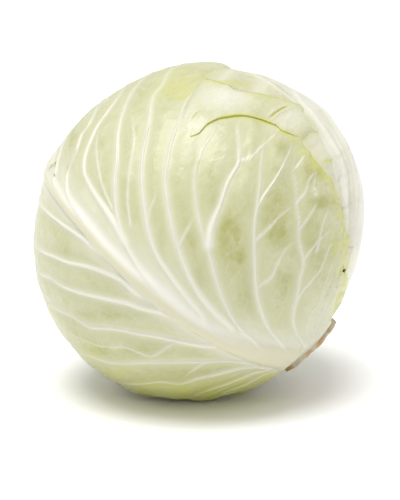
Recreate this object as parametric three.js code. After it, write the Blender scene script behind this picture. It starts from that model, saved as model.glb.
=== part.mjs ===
import * as THREE from "three";

// A head of white cabbage that lies on its side, in millimetres, with +Z up.
// The origin is the middle of the small flat spot that the head rests on.
// The cut stem points right, down and a little to the front (-Y).
//
// Places on the head are given as a longitude about the stem axis and a polar
// angle from the stem (0) to the top of the head (180), both in degrees.
// Longitude 0 faces the front and longitude 90 faces left and down.

// The head: a ball slightly flattened along its stem axis
const EQUATOR_RADIUS = 89.3;
const POLAR_RADIUS = 84.8;
const CENTRE = new THREE.Vector3(4.4, -0.5, 85.4);
const STEM_BELOW_HORIZON = 44.5;
const STEM_TO_FRONT = 8.3;
const FRONT_RISE = 14;

// Swellings and hollows of the ball: longitude, polar angle, height, spread in degrees
const SWELLINGS = [
  [-90, 77, 3.6, 20],
  [-90, 136, 2.2, 12],
  [105, 48, 3.4, 22],
  [40, 8, 2.4, 14],
  [-90, 24, -0.8, 11],
  [90, 143, -1.2, 10],
  [90, 118, -0.7, 13],
  [175, 90, 2.6, 30],
];

// Leaf blades
const BLADE_THICKNESS = 0.8;
const BLADE_GAP = 1.35;
const BASE_THICKNESS = 1.4;
const BASE_GAP = 0.7;
const BASE_STARTS = 16;
const BASE_ENDS = 34;
const LAP_WIDTH = 6;
const LAP_SLACK = 6;
const MIDRIB_HEIGHT = 4.2;
const MIDRIB_HALF_WIDTH = 8.5;
const MIDRIB_TIP_HALF_WIDTH = 0.8;
const MIDRIB_TIP_SHARE = 0.3;
const MIDRIB_SKIRT_SHARE = 0.25;
const MIDRIB_SKIRT_REACH = 0.3;
const LATERAL_HEIGHT = 1.1;
const LATERAL_TIP_SHARE = 0.35;
const LATERAL_HALF_WIDTH = 2.3;
const LATERAL_TIP_HALF_WIDTH = 1.15;
const LATERAL_MOST_OF_PANEL = 0.34;
const PANEL_SWELL = 0.45;
const MARGIN_LIFT = 0.7;
const BETWEEN_WAVES_SHARE = 0.2;

// The leaves that lie under the front one: ovals with a waved edge, on a flat map in degrees
const OVAL_POLAR = 95;
const OVAL_TO_BASE = 84;
const OVAL_TO_TIP = 77;
const OVAL_BASE_TURN = -81;
const OVAL_TIP_TURN = 84;
const OVAL_BASE_FULLNESS = 0.75;
const OVAL_BASE_HALF_TURN = 60;
const OVAL_BASE_POLAR = 16.8;
const OVAL_WAVE_SHARE = 0.018;
const OVAL_WAVE_PITCH = 3;
const OVAL_MIDRIB_POLARS = [15.5, 45, 80, 115, 150, 172];
const OVAL_MIDRIB_SWAY = 3;
const OVAL_MIDRIB_HEIGHT = 3.2;
const OVAL_MIDRIB_HALF_WIDTH = 7;

// The heart of packed inner leaves, and the socket in it that holds the core
const HEART_SIDES = 32;
const HEART_RINGS = 17;
const HEART_MOUTH = 19;
const HEART_LEVEL = 7.6;
const SOCKET_RINGS = [0.62, 0.3, 0];
const SOCKET_FLOOR_SHARE = 0.6;
const SOCKET_FLOOR_DROP = 3.5;

// Stem and core
const STEM_RADIUS = 18.8;
const STEM_CUT = 87.2;
const CORE_DEPTH = 58;
const CORE_TIP_RADIUS = 7;
const CORE_TAPER = 1.4;
const CORE_RINGS = [0.05, 0.25, 0.45, 0.65, 0.82, 0.93];
const STEM_SIDES = 24;
const STEM_LOBES = 3;
const SOCKET_GAP = 0.6;

const RAD = Math.PI / 180;
const MM_PER_DEGREE = EQUATOR_RADIUS * RAD;
const { cos, sin, acos, min, max, floor } = Math;
const { smoothstep, lerp } = THREE.MathUtils;

const stemward = new THREE.Vector3(
  cos(STEM_BELOW_HORIZON * RAD) * cos(STEM_TO_FRONT * RAD),
  -cos(STEM_BELOW_HORIZON * RAD) * sin(STEM_TO_FRONT * RAD),
  -sin(STEM_BELOW_HORIZON * RAD),
);
const frontward = new THREE.Vector3(0, -cos(FRONT_RISE * RAD), sin(FRONT_RISE * RAD));
frontward.addScaledVector(stemward, -frontward.dot(stemward)).normalize();
const leftward = new THREE.Vector3().crossVectors(stemward, frontward);

// The unit vector from the middle of the head to a place on it.
function heading(longitude, polar) {
  return new THREE.Vector3()
    .addScaledVector(stemward, cos(polar * RAD))
    .addScaledVector(frontward, sin(polar * RAD) * cos(longitude * RAD))
    .addScaledVector(leftward, sin(polar * RAD) * sin(longitude * RAD));
}

const swellings = SWELLINGS.map(([longitude, polar, height, spread]) => ({
  middle: heading(longitude, polar),
  height,
  spread: spread * RAD,
}));

function angleBetween(a, b) {
  return acos(min(1, max(-1, a.dot(b))));
}

function polarOf(way) {
  return angleBetween(way, stemward) / RAD;
}

// Distance from the middle to the outside of the head, before it settles on the floor.
function ballRadius(way) {
  const along = way.dot(stemward);
  const across = 1 - along * along;
  let radius =
    (EQUATOR_RADIUS * POLAR_RADIUS) /
    Math.sqrt(POLAR_RADIUS ** 2 * across + EQUATOR_RADIUS ** 2 * along * along);
  for (const { middle, height, spread } of swellings) {
    radius += height * Math.exp(-0.5 * (angleBetween(way, middle) / spread) ** 2);
  }
  return radius;
}

function floorRadius(way) {
  return way.z < 0 ? CENTRE.z / -way.z : Infinity;
}

// 0 where the thick leaf bases gather round the stem, 1 out on the blades.
function bladeShare(way) {
  return smoothstep(polarOf(way), BASE_STARTS, BASE_ENDS);
}

function bladeThickness(way) {
  return lerp(BASE_THICKNESS, BLADE_THICKNESS, bladeShare(way));
}

function leafGap(way) {
  return lerp(BASE_GAP, BLADE_GAP, bladeShare(way));
}

// A flat map of the head about one leaf: x and y are degrees from its middle, and y
// runs from the stem to the tip. Equal distances from the middle stay equal.
class LeafMap {
  constructor(longitude, polar) {
    this.middle = heading(longitude, polar);
    this.tipward = heading(longitude, polar + 90);
    this.across = heading(longitude + 90, 90);
  }

  toMap(way) {
    const reach = angleBetween(way, this.middle);
    const scale = reach < 1e-6 ? 1 / RAD : reach / sin(reach) / RAD;
    return new THREE.Vector2(way.dot(this.across) * scale, way.dot(this.tipward) * scale);
  }

  toWay(point) {
    const reach = point.length() * RAD;
    const scale = reach < 1e-6 ? RAD : (sin(reach) / reach) * RAD;
    return new THREE.Vector3()
      .addScaledVector(this.middle, cos(reach))
      .addScaledVector(this.across, point.x * scale)
      .addScaledVector(this.tipward, point.y * scale);
  }
}

// The outside of a leaf or of the heart, by how many leaves lie over it.
function layerRadius(way, level) {
  return ballRadius(way) - level * (bladeThickness(way) + leafGap(way));
}

// How far a leaf hides what lies under it: 1 under the leaf and a little past its
// outline, falling to 0 over the width of the lap. Ribs and waves fade out under it.
const OUTLINE_BINS = 120;
const STEPS_TO_EDGE_POINT = 12;
function coverOf(map, outline) {
  const reach = new Array(OUTLINE_BINS).fill(0);
  outline.forEach((from, i) => {
    const to = outline[(i + 1) % outline.length];
    for (let step = 0; step < STEPS_TO_EDGE_POINT; step++) {
      const point = from.clone().lerp(to, step / STEPS_TO_EDGE_POINT);
      const bin = floor((point.angle() / (2 * Math.PI)) * OUTLINE_BINS) % OUTLINE_BINS;
      reach[bin] = max(reach[bin], point.length());
    }
  });
  const wide = reach.map((own, bin) =>
    max(own, reach[(bin + 1) % OUTLINE_BINS], reach.at(bin - 1)),
  );
  return (way) => {
    const point = map.toMap(way);
    const bin = (point.angle() / (2 * Math.PI)) * OUTLINE_BINS + OUTLINE_BINS - 0.5;
    const low = floor(bin);
    const edge = lerp(wide[low % OUTLINE_BINS], wide[(low + 1) % OUTLINE_BINS], bin - low);
    return 1 - smoothstep(point.length(), edge + LAP_SLACK, edge + LAP_SLACK + LAP_WIDTH);
  };
}

const covers = [];

function shownShare(way) {
  return covers.reduce((share, cover) => share * (1 - cover(way)), 1);
}

// Closes a grid of outer and inner points into one thin solid. Both faces of a blade
// are split into triangles alike.
function shellGeometry(outer, inner) {
  const columns = outer.length;
  const rows = outer[0].length;
  const positions = [];
  for (const face of [outer, inner]) {
    for (const column of face) {
      for (const point of column) positions.push(point.x, point.y, point.z);
    }
  }
  const outerAt = (c, r) => c * rows + r;
  const innerAt = (c, r) => columns * rows + c * rows + r;
  const triangles = [];
  for (let c = 0; c < columns - 1; c++) {
    for (let r = 0; r < rows - 1; r++) {
      triangles.push(outerAt(c, r), outerAt(c + 1, r), outerAt(c + 1, r + 1));
      triangles.push(outerAt(c, r), outerAt(c + 1, r + 1), outerAt(c, r + 1));
      triangles.push(innerAt(c, r), innerAt(c + 1, r + 1), innerAt(c + 1, r));
      triangles.push(innerAt(c, r), innerAt(c, r + 1), innerAt(c + 1, r + 1));
    }
  }
  const rim = [];
  for (let r = 0; r < rows - 1; r++) rim.push([0, r]);
  for (let c = 0; c < columns - 1; c++) rim.push([c, rows - 1]);
  for (let r = rows - 1; r > 0; r--) rim.push([columns - 1, r]);
  for (let c = columns - 1; c > 0; c--) rim.push([c, 0]);
  rim.forEach(([c, r], i) => {
    const [nextC, nextR] = rim[(i + 1) % rim.length];
    triangles.push(outerAt(c, r), outerAt(nextC, nextR), innerAt(nextC, nextR));
    triangles.push(outerAt(c, r), innerAt(nextC, nextR), innerAt(c, r));
  });
  const geometry = new THREE.BufferGeometry();
  geometry.setAttribute("position", new THREE.Float32BufferAttribute(positions, 3));
  geometry.setIndex(triangles);
  geometry.computeVertexNormals();
  return geometry;
}

function splineThrough(map, places) {
  const points = places.map(([longitude, polar]) => map.toMap(heading(longitude, polar)));
  return new THREE.SplineCurve(points);
}

// One leaf. Its midrib runs from the stem to the tip, and its side veins leave the
// midrib along it and bend away to the margin. Columns of the grid follow the side
// veins, with the crest of each vein, its two feet and the middle of the next panel.
function makeLeaf(leaf) {
  const map = new LeafMap(leaf.longitude, leaf.polar);
  const midrib = splineThrough(map, leaf.midrib);
  const starts = [0, ...leaf.veinStarts, 1];
  const intervals = starts.length - 1;
  const sides = leaf.margins.map((margin, side) => ({
    sign: side === 0 ? -1 : 1,
    margin: splineThrough(map, margin),
    last: margin.length - 1,
    ends: [0, ...leaf.veinEnds[side], margin.length - 1],
  }));

  const acrossMidrib = (along) => {
    const tangent = midrib.getTangent(along);
    return new THREE.Vector2(tangent.y, -tangent.x);
  };
  const midribHalfWidth = (along) =>
    lerp(leaf.ribHalfWidth, MIDRIB_TIP_HALF_WIDTH, Math.sqrt(along)) / MM_PER_DEGREE;

  // A side vein, or the edge of the leaf at its base and tip, as a curve on the map.
  const veinCurve = (side, k) => {
    const from = midrib
      .getPoint(starts[k])
      .addScaledVector(acrossMidrib(starts[k]), side.sign * midribHalfWidth(starts[k]));
    const to = side.margin.getPoint(side.ends[k] / side.last);
    const tangent = midrib.getTangent(starts[k]);
    const reach = to.clone().sub(from);
    const isLeafEnd = k === 0 || k === intervals;
    const along = isLeafEnd ? 0.5 : leaf.veinAlong;
    const across = isLeafEnd ? 0.5 : 1 - leaf.veinAlong;
    const forwardPart = tangent.clone().multiplyScalar(reach.dot(tangent));
    const sidePart = reach.clone().sub(forwardPart);
    const control = from
      .clone()
      .addScaledVector(forwardPart, along)
      .addScaledVector(sidePart, across);
    return new THREE.QuadraticBezierCurve(from, control, to);
  };
  for (const side of sides) side.veins = starts.map((_, k) => veinCurve(side, k));

  // The places of one column across a panel: which panel, how far over it, and the
  // share of the ridge height.
  const parts = leaf.relief ? ["crest", "foot", "middle", "farFoot"] : ["crest", "middle"];
  const columns = [];
  for (let k = 0; k < intervals; k++) {
    for (const part of parts) columns.push({ k, part });
  }
  columns.push({ k: intervals, part: "crest" });

  const sharePoint = (side, { k, part }, v) => {
    if (part === "crest") {
      return { point: side.veins[k].getPointAt(v), share: 0 };
    }
    const near = side.veins[k].getPointAt(v);
    const far = side.veins[k + 1].getPointAt(v);
    const halfWidth = lerp(LATERAL_HALF_WIDTH, LATERAL_TIP_HALF_WIDTH, v) / MM_PER_DEGREE;
    const foot = min(LATERAL_MOST_OF_PANEL, halfWidth / max(near.distanceTo(far), 1e-6));
    const share = { foot, middle: 0.5, farFoot: 1 - foot }[part];
    const chord = near.clone().lerp(far, share);
    const nearEnd = side.veins[k].getPoint(1);
    const farEnd = side.veins[k + 1].getPoint(1);
    const onMargin = side.margin.getPoint(lerp(side.ends[k], side.ends[k + 1], share) / side.last);
    const bow = onMargin.sub(nearEnd.lerp(farEnd, share));
    return { point: chord.addScaledVector(bow, v ** 3), share };
  };

  // Where a column lies, counted in panels, for the pleat
  const panelPlace = { crest: 0, foot: 0.25, middle: 0.5, farFoot: 0.75 };

  // Rows from the edge of the midrib (0) to the margin (1), moved so that two of them
  // meet at the lip of the pleat where the leaf has one.
  const rowPlace = (side, column, row) => {
    const even = row / leaf.rows;
    const pleat = leaf.pleat;
    if (!pleat || side.sign > 0) return even;
    const at = column.k + panelPlace[column.part];
    if (at < pleat.from || at > pleat.to) return even;
    const lip = pleat.lipAt(at);
    if (row === pleat.row) return lip - pleat.steepness;
    if (row === pleat.row + 1) return lip;
    if (row < pleat.row) return ((lip - pleat.steepness) * row) / pleat.row;
    return lip + ((1 - lip) * (row - pleat.row - 1)) / (leaf.rows - pleat.row - 1);
  };
  const pleatHeight = (side, column, row) => {
    const pleat = leaf.pleat;
    if (!pleat || side.sign > 0 || row <= pleat.row) return 0;
    const at = column.k + panelPlace[column.part];
    if (at < pleat.from || at > pleat.to) return 0;
    return pleat.heightAt(at);
  };

  const outer = [];
  const inner = [];
  for (const column of columns) {
    const outerColumn = [];
    const innerColumn = [];
    const place = (point, relief, lift) => {
      const way = map.toWay(point);
      const shown = shownShare(way);
      const surface = layerRadius(way, leaf.level) + lift * shown;
      const top = min(surface + relief * shown, floorRadius(way));
      const under = min(surface, floorRadius(way)) - bladeThickness(way);
      outerColumn.push(way.clone().multiplyScalar(top).add(CENTRE));
      innerColumn.push(way.clone().multiplyScalar(under).add(CENTRE));
    };
    const alongShare = (share) =>
      column.k === intervals ? 1 : lerp(starts[column.k], starts[column.k + 1], share);
    const sideRow = (side, row) => {
      const v = rowPlace(side, column, row);
      const { point } = sharePoint(side, column, v);
      const isVein = column.part === "crest" && column.k > 0 && column.k < intervals;
      const crest = isVein ? LATERAL_HEIGHT * lerp(1, LATERAL_TIP_SHARE, v) : 0;
      const panel = column.part === "middle" ? PANEL_SWELL * sin(Math.PI * min(1, v)) : 0;
      const wave = column.part === "middle" || isVein ? 1 : BETWEEN_WAVES_SHARE;
      const lift = MARGIN_LIFT * wave * v ** 5;
      const besideMidrib = 1 - smoothstep(v, 0, MIDRIB_SKIRT_REACH);
      const skirt = leaf.ribHeight * MIDRIB_SKIRT_SHARE * besideMidrib;
      place(point, (crest + panel + skirt) * leaf.relief + pleatHeight(side, column, row), lift);
    };
    for (let row = leaf.rows; row >= 0; row--) sideRow(sides[0], row);
    const along = alongShare(sharePoint(sides[1], column, 0).share);
    const ribHeight = leaf.ribHeight * lerp(1, MIDRIB_TIP_SHARE, along) * leaf.relief;
    place(midrib.getPoint(along), ribHeight, 0);
    for (let row = 0; row <= leaf.rows; row++) sideRow(sides[1], row);
    outer.push(outerColumn);
    inner.push(innerColumn);
  }

  const edges = sides.map((side) => columns.map((column) => sharePoint(side, column, 1).point));
  covers.push(coverOf(map, [...edges[1].reverse(), ...edges[0]]));
  return shellGeometry(outer, inner);
}

// A leaf whose margins are not seen from the front: an oval with a waved edge.
function ovalLeaf({ longitude, halfWidths, veins, rows, relief, level }) {
  const map = new LeafMap(longitude, OVAL_POLAR);
  const points = OVAL_WAVE_PITCH * veins;
  const margins = [-1, 1].map((sign, side) =>
    Array.from({ length: points + 1 }, (_, i) => {
      if (i === 0) return [longitude + sign * OVAL_BASE_HALF_TURN, OVAL_BASE_POLAR];
      const turn = lerp(OVAL_BASE_TURN, OVAL_TIP_TURN, i / points) * RAD;
      const wavePhase = ((2 * Math.PI) / OVAL_WAVE_PITCH) * i + sign;
      const wave = 1 + OVAL_WAVE_SHARE * sin(wavePhase) * smoothstep(i, 1, 4);
      const nearBase = turn < 0;
      const across = cos(turn) ** (nearBase ? OVAL_BASE_FULLNESS : 1);
      const point = new THREE.Vector2(
        sign * halfWidths[side] * wave * across,
        (nearBase ? OVAL_TO_BASE : OVAL_TO_TIP) * wave * sin(turn),
      );
      const way = map.toWay(point);
      const around = Math.atan2(way.dot(leftward), way.dot(frontward)) / RAD;
      return [around, polarOf(way)];
    }),
  );
  const spread = Array.from({ length: veins }, (_, k) => (k + 1) / (veins + 1));
  const ends = spread.map((share) => share ** 0.85 * points);
  return {
    longitude,
    polar: OVAL_POLAR,
    midrib: OVAL_MIDRIB_POLARS.map((polar, i) => [longitude + OVAL_MIDRIB_SWAY * sin(i), polar]),
    veinStarts: spread.map((share) => 0.86 * share ** 1.15),
    margins,
    veinEnds: [ends, ends],
    veinAlong: 0.86,
    rows,
    relief,
    level,
    ribHeight: OVAL_MIDRIB_HEIGHT,
    ribHalfWidth: OVAL_MIDRIB_HALF_WIDTH,
  };
}

// The front leaf, read from its front view: the outermost one, whose pleat folds over
// its own right side and laps on to the right leaf.
const frontLeaf = {
  longitude: 15,
  polar: 108,
  midrib: [
    [21, 13.5],
    [19, 31],
    [20, 48],
    [23, 64],
    [25, 85],
    [28, 104],
    [33, 125],
    [44, 140],
    [64, 154],
    [105, 164],
    [150, 163],
    [175, 152],
  ],
  veinStarts: [0.04, 0.07, 0.1, 0.13, 0.19, 0.25, 0.3, 0.34, 0.42, 0.54, 0.64, 0.74],
  margins: [
    [
      [-36, 19],
      [-37, 27],
      [-52, 32],
      [-42, 41],
      [-39, 45],
      [-47, 49],
      [-51, 52],
      [-47, 57],
      [-50, 65],
      [-51, 73],
      [-49, 81],
      [-53, 89],
      [-66, 87],
      [-71, 94],
      [-64, 103],
      [-58, 112],
      [-57, 121],
      [-60, 129],
      [-74, 126],
      [-86, 122],
      [-100, 123],
      [-112, 128],
      [-119, 137],
      [-127, 144],
      [-137, 149],
      [-150, 152],
      [-165, 154],
      [-178, 153],
    ],
    [
      [57, 15],
      [66, 20],
      [71, 25],
      [72, 29],
      [78, 34],
      [78, 39],
      [82, 46],
      [80, 52],
      [84, 59],
      [84, 65],
      [90, 72],
      [91, 81],
      [97, 88],
      [98, 97],
      [106, 104],
      [108, 113],
      [117, 120],
      [121, 129],
      [132, 136],
      [142, 143],
      [152, 147],
      [163, 150],
      [172, 152],
    ],
  ],
  veinEnds: [
    [2, 6, 8.5, 11, 14, 16, 17.3, 20.5, 22, 23.4, 24.6, 25.8],
    [1.5, 3.5, 5.5, 8, 10, 12, 14, 15.5, 17, 18.4, 19.5, 20.6],
  ],
  veinAlong: 0.88,
  rows: 10,
  relief: 1,
  level: 0,
  ribHeight: MIDRIB_HEIGHT,
  ribHalfWidth: MIDRIB_HALF_WIDTH,
  pleat: {
    from: 4,
    to: 7,
    row: 6,
    steepness: 0.012,
    lipAt: (at) => 0.93 - 0.065 * min(at - 4, 2) - 0.22 * smoothstep(at, 6, 7),
    heightAt: (at) => 1.7 * smoothstep(at, 3.6, 4.4) * (1 - smoothstep(at, 5.8, 7)),
  },
};

// The packed inner leaves, closed round the core of the stem
function makeHeart() {
  const outside = (polar) => (longitude) => {
    const way = heading(longitude, polar);
    return way.multiplyScalar(layerRadius(way, HEART_LEVEL)).add(CENTRE);
  };
  const inSocket = (height, radius) => (longitude) =>
    CENTRE.clone()
      .addScaledVector(stemward, height)
      .addScaledVector(heading(longitude, 90), radius);
  const bottom = STEM_CUT - CORE_DEPTH - SOCKET_GAP;
  const socketRadius = (height) => coreRadius(max(height, STEM_CUT - CORE_DEPTH)) + SOCKET_GAP;
  const rings = [];
  for (let ring = 1; ring <= HEART_RINGS; ring++) {
    rings.push(outside(lerp(180, HEART_MOUTH, ring / HEART_RINGS)));
  }
  for (const share of SOCKET_RINGS) {
    const height = bottom + share * CORE_DEPTH;
    rings.push(inSocket(height, socketRadius(height)));
  }
  rings.push(inSocket(bottom - SOCKET_FLOOR_DROP, socketRadius(bottom) * SOCKET_FLOOR_SHARE));
  const top = outside(180)(0);
  const floorMiddle = inSocket(bottom - SOCKET_FLOOR_DROP, 0)(0);
  return ringedGeometry(HEART_SIDES, rings, top, floorMiddle);
}

// A closed solid of rings about the stem axis, with a point at each end.
function ringedGeometry(sides, rings, firstPoint, lastPoint) {
  const points = [firstPoint];
  for (const ring of rings) {
    for (let side = 0; side < sides; side++) points.push(ring((360 * side) / sides));
  }
  points.push(lastPoint);
  const at = (ring, side) => 1 + ring * sides + (side % sides);
  const triangles = [];
  for (let side = 0; side < sides; side++) {
    triangles.push(0, at(0, side + 1), at(0, side));
    for (let ring = 0; ring < rings.length - 1; ring++) {
      triangles.push(at(ring, side), at(ring + 1, side + 1), at(ring + 1, side));
      triangles.push(at(ring, side), at(ring, side + 1), at(ring + 1, side + 1));
    }
    triangles.push(at(rings.length - 1, side), at(rings.length - 1, side + 1), points.length - 1);
  }
  const geometry = new THREE.BufferGeometry().setFromPoints(points);
  geometry.setIndex(triangles);
  geometry.computeVertexNormals();
  return geometry;
}

function coreRadius(height) {
  const share = (STEM_CUT - height) / CORE_DEPTH;
  return lerp(STEM_RADIUS, CORE_TIP_RADIUS, max(0, share) ** CORE_TAPER);
}

// The cut stem and the core that it grows into, a slightly lobed cone with a rough cut
function makeStem() {
  const ringAt = (height, radius, lobing) => (longitude) => {
    const lobe = 0.5 + 0.5 * sin(STEM_LOBES * longitude * RAD);
    return CENTRE.clone()
      .addScaledVector(stemward, height)
      .addScaledVector(heading(longitude, 90), radius * (1 - lobing * lobe));
  };
  const tip = STEM_CUT - CORE_DEPTH;
  const rings = [ringAt(tip + 1.2, CORE_TIP_RADIUS * 0.6, 0)];
  for (const share of CORE_RINGS) {
    const height = tip + share * CORE_DEPTH;
    rings.push(ringAt(height, coreRadius(height), 0.03));
  }
  // The cut: a bevelled rim round a shallow dish
  rings.push(ringAt(STEM_CUT - 0.6, STEM_RADIUS, 0.05));
  rings.push(ringAt(STEM_CUT, STEM_RADIUS - 0.9, 0.06));
  rings.push(ringAt(STEM_CUT - 0.5, STEM_RADIUS * 0.72, 0.05));
  rings.push(ringAt(STEM_CUT - 0.2, STEM_RADIUS * 0.45, 0.04));
  return ringedGeometry(
    STEM_SIDES,
    rings,
    CENTRE.clone().addScaledVector(stemward, tip),
    CENTRE.clone().addScaledVector(stemward, STEM_CUT - 0.9),
  );
}

const cabbage = new THREE.Group();

function addPiece(name, geometry, color, roughness) {
  const material = new THREE.MeshStandardMaterial({ color, roughness, metalness: 0 });
  const mesh = new THREE.Mesh(geometry, material);
  mesh.name = name;
  cabbage.add(mesh);
}

// From the outermost leaf to the heart, each laid under those before it
addPiece("front_leaf", makeLeaf(frontLeaf), 0xdde3bb, 0.42);
for (const [level, name, longitude, halfWidths, veins, rows, relief, color] of [
  [1, "right_leaf", -117, [83, 73], 8, 7, 1, 0xe6e8d0],
  [2, "left_leaf", 138, [84, 84], 8, 7, 0.8, 0xdbe2bd],
  [3.3, "inner_leaf_1", -40, [72, 72], 9, 6, 0, 0xe9ebd2],
  [4.7, "inner_leaf_2", -172, [72, 72], 9, 6, 0, 0xecedd6],
  [6.1, "inner_leaf_3", 62, [72, 72], 9, 6, 0, 0xeff0dc],
]) {
  const leaf = ovalLeaf({ longitude, halfWidths, veins, rows, relief, level });
  addPiece(name, makeLeaf(leaf), color, 0.45);
}
addPiece("heart", makeHeart(), 0xf2f2e0, 0.5);
addPiece("stem", makeStem(), 0xd9cfb4, 0.7);

export default cabbage;
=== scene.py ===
import itertools
import math

import bpy
import numpy as np
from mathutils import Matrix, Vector


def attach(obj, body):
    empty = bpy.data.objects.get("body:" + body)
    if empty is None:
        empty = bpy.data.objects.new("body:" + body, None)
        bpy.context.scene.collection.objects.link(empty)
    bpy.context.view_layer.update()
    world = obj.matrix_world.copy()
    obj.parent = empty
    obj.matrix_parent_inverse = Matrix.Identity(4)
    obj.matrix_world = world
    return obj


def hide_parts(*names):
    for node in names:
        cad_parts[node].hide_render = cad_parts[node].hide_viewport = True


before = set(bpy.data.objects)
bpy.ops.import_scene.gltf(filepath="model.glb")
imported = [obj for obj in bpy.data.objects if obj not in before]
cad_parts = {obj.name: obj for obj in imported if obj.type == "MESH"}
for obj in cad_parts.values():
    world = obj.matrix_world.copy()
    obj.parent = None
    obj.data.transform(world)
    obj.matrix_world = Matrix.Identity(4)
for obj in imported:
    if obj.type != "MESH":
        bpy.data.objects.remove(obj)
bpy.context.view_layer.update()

# A head of white cabbage on a pale floor. Lengths are in millimetres until a mesh is made.
# Places on the head are given as a longitude about the stem axis and a polar angle from
# the stem (0) to the top of the head (180). Longitude 0 faces the front and 90 left and down.
MM = 0.001
RAD = math.pi / 180

# The head, as in the frame
EQUATOR_RADIUS = 89.3
POLAR_RADIUS = 84.8
CENTRE = np.array([4.4, -0.5, 85.4])
STEM_BELOW_HORIZON = 44.5
STEM_TO_FRONT = 8.3
FRONT_RISE = 14

# Swellings and hollows of the ball: longitude, polar angle, height, spread in degrees
SWELLINGS = [
    (-90, 77, 3.6, 20),
    (-90, 136, 2.2, 12),
    (105, 48, 3.4, 22),
    (40, 8, 2.4, 14),
    (-90, 24, -0.8, 11),
    (90, 143, -1.2, 10),
    (90, 118, -0.7, 13),
    (175, 90, 2.6, 30),
]

# The stem, with its cut face and how much of its length is made
STEM_RADIUS = 18.8
STEM_CUT = 87.2
STEM_SEEN = 26.0

# The leaves' bases, cut along a shallow cone: its slope, how softly it meets the blade, the polar
# angles between which the cut ends, and its height at the stem's rim, which dips on the front
# leaf's left
BASE_SLOPE = 0.19
BASE_SOFTNESS = 1.5
BASE_CUT_ENDS = (24, 32)
FRONT_BASE_CUT = 84.6
FRONT_BASE_DIP = 0.6
OVAL_BASE_CUT = 83.4

# How far the outside of each leaf lies under the ball
RIGHT_LEAF_DEPTH = 1.3
LEFT_LEAF_DEPTH = 2.6
BLADE_THICKNESS = 0.7

# The camera, as the photograph was taken: 400 by 500 pixels, 0.53 mm to a pixel at the head
FRAME_WIDTH = 400
FRAME_HEIGHT = 500
MM_PER_PIXEL = 0.53
CAMERA_DISTANCE = 1150.0
CAMERA_TILT = 14.0
HEAD_CENTRE_PX = (197.0, 231.5)
FOCAL_PX = CAMERA_DISTANCE / MM_PER_PIXEL
SENSOR_MM = 36.0


def unit(vectors):
    return vectors / np.linalg.norm(vectors, axis=-1, keepdims=True)


STEMWARD = np.array([
    math.cos(STEM_BELOW_HORIZON * RAD) * math.cos(STEM_TO_FRONT * RAD),
    -math.cos(STEM_BELOW_HORIZON * RAD) * math.sin(STEM_TO_FRONT * RAD),
    -math.sin(STEM_BELOW_HORIZON * RAD),
])
FRONTWARD = np.array([0.0, -math.cos(FRONT_RISE * RAD), math.sin(FRONT_RISE * RAD)])
FRONTWARD = unit(FRONTWARD - FRONTWARD @ STEMWARD * STEMWARD)
LEFTWARD = np.cross(STEMWARD, FRONTWARD)

VIEWWARD = np.array([0.0, math.cos(CAMERA_TILT * RAD), -math.sin(CAMERA_TILT * RAD)])
VIEW_RIGHT = np.array([1.0, 0.0, 0.0])
VIEW_UP = np.array([0.0, math.sin(CAMERA_TILT * RAD), math.cos(CAMERA_TILT * RAD)])


def pixel_ray(pixels):
    """A way out of the camera for each pixel of the photograph, one unit deep."""
    pixels = np.atleast_2d(pixels).astype(float)
    right = (pixels[:, :1] - FRAME_WIDTH / 2) / FOCAL_PX
    down = (pixels[:, 1:] - FRAME_HEIGHT / 2) / FOCAL_PX
    return VIEWWARD + right * VIEW_RIGHT - down * VIEW_UP


CAMERA_FROM_CENTRE = -pixel_ray(HEAD_CENTRE_PX)[0] * CAMERA_DISTANCE


def smoothstep(value, low, high):
    share = np.clip((value - low) / (high - low), 0, 1)
    return share * share * (3 - 2 * share)


def lerp(low, high, share):
    return low + (high - low) * share


def bell(distance, spread):
    return np.exp(-((distance / spread) ** 2))


# The ball

def heading(longitude, polar):
    """Unit vectors from the middle of the head to places on it."""
    longitude, polar = np.asarray(longitude) * RAD, np.asarray(polar) * RAD
    return (
        np.cos(polar)[..., None] * STEMWARD
        + (np.sin(polar) * np.cos(longitude))[..., None] * FRONTWARD
        + (np.sin(polar) * np.sin(longitude))[..., None] * LEFTWARD
    )


def polar_of(ways):
    return np.arccos(np.clip(ways @ STEMWARD, -1, 1)) / RAD


def ball_radius(ways):
    along = ways @ STEMWARD
    radius = EQUATOR_RADIUS * POLAR_RADIUS / np.sqrt(
        POLAR_RADIUS**2 * (1 - along**2) + EQUATOR_RADIUS**2 * along**2
    )
    for longitude, polar, height, spread in SWELLINGS:
        angle = np.arccos(np.clip(ways @ heading(longitude, polar), -1, 1))
        radius = radius + height * np.exp(-0.5 * (angle / (spread * RAD)) ** 2)
    return radius


def stem_cut_radius(ways, height):
    """How far a leaf may reach before it meets the shallow cone that its base was cut along."""
    along = np.maximum(ways @ STEMWARD, 0.3)
    outward = height * np.sqrt(1 - np.minimum(along, 1) ** 2) / along
    return (height - BASE_SLOPE * np.maximum(outward - STEM_RADIUS, 0)) / along


def soft_min(first, second, softness):
    share = np.clip(0.5 + 0.5 * (second - first) / softness, 0, 1)
    return lerp(second, first, share) - softness * share * (1 - share)


def floor_radius(ways):
    down = np.maximum(-ways[..., 2], 1e-6)
    return CENTRE[2] / down


def trimmed(radius, ways, cut_height):
    """The outside of a blade, cut off at its base and kept above the floor."""
    near_stem = 1 - smoothstep(polar_of(ways), *BASE_CUT_ENDS)
    cut = soft_min(radius, stem_cut_radius(ways, cut_height), BASE_SOFTNESS)
    return np.minimum(lerp(radius, cut, near_stem), floor_radius(ways))


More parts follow.
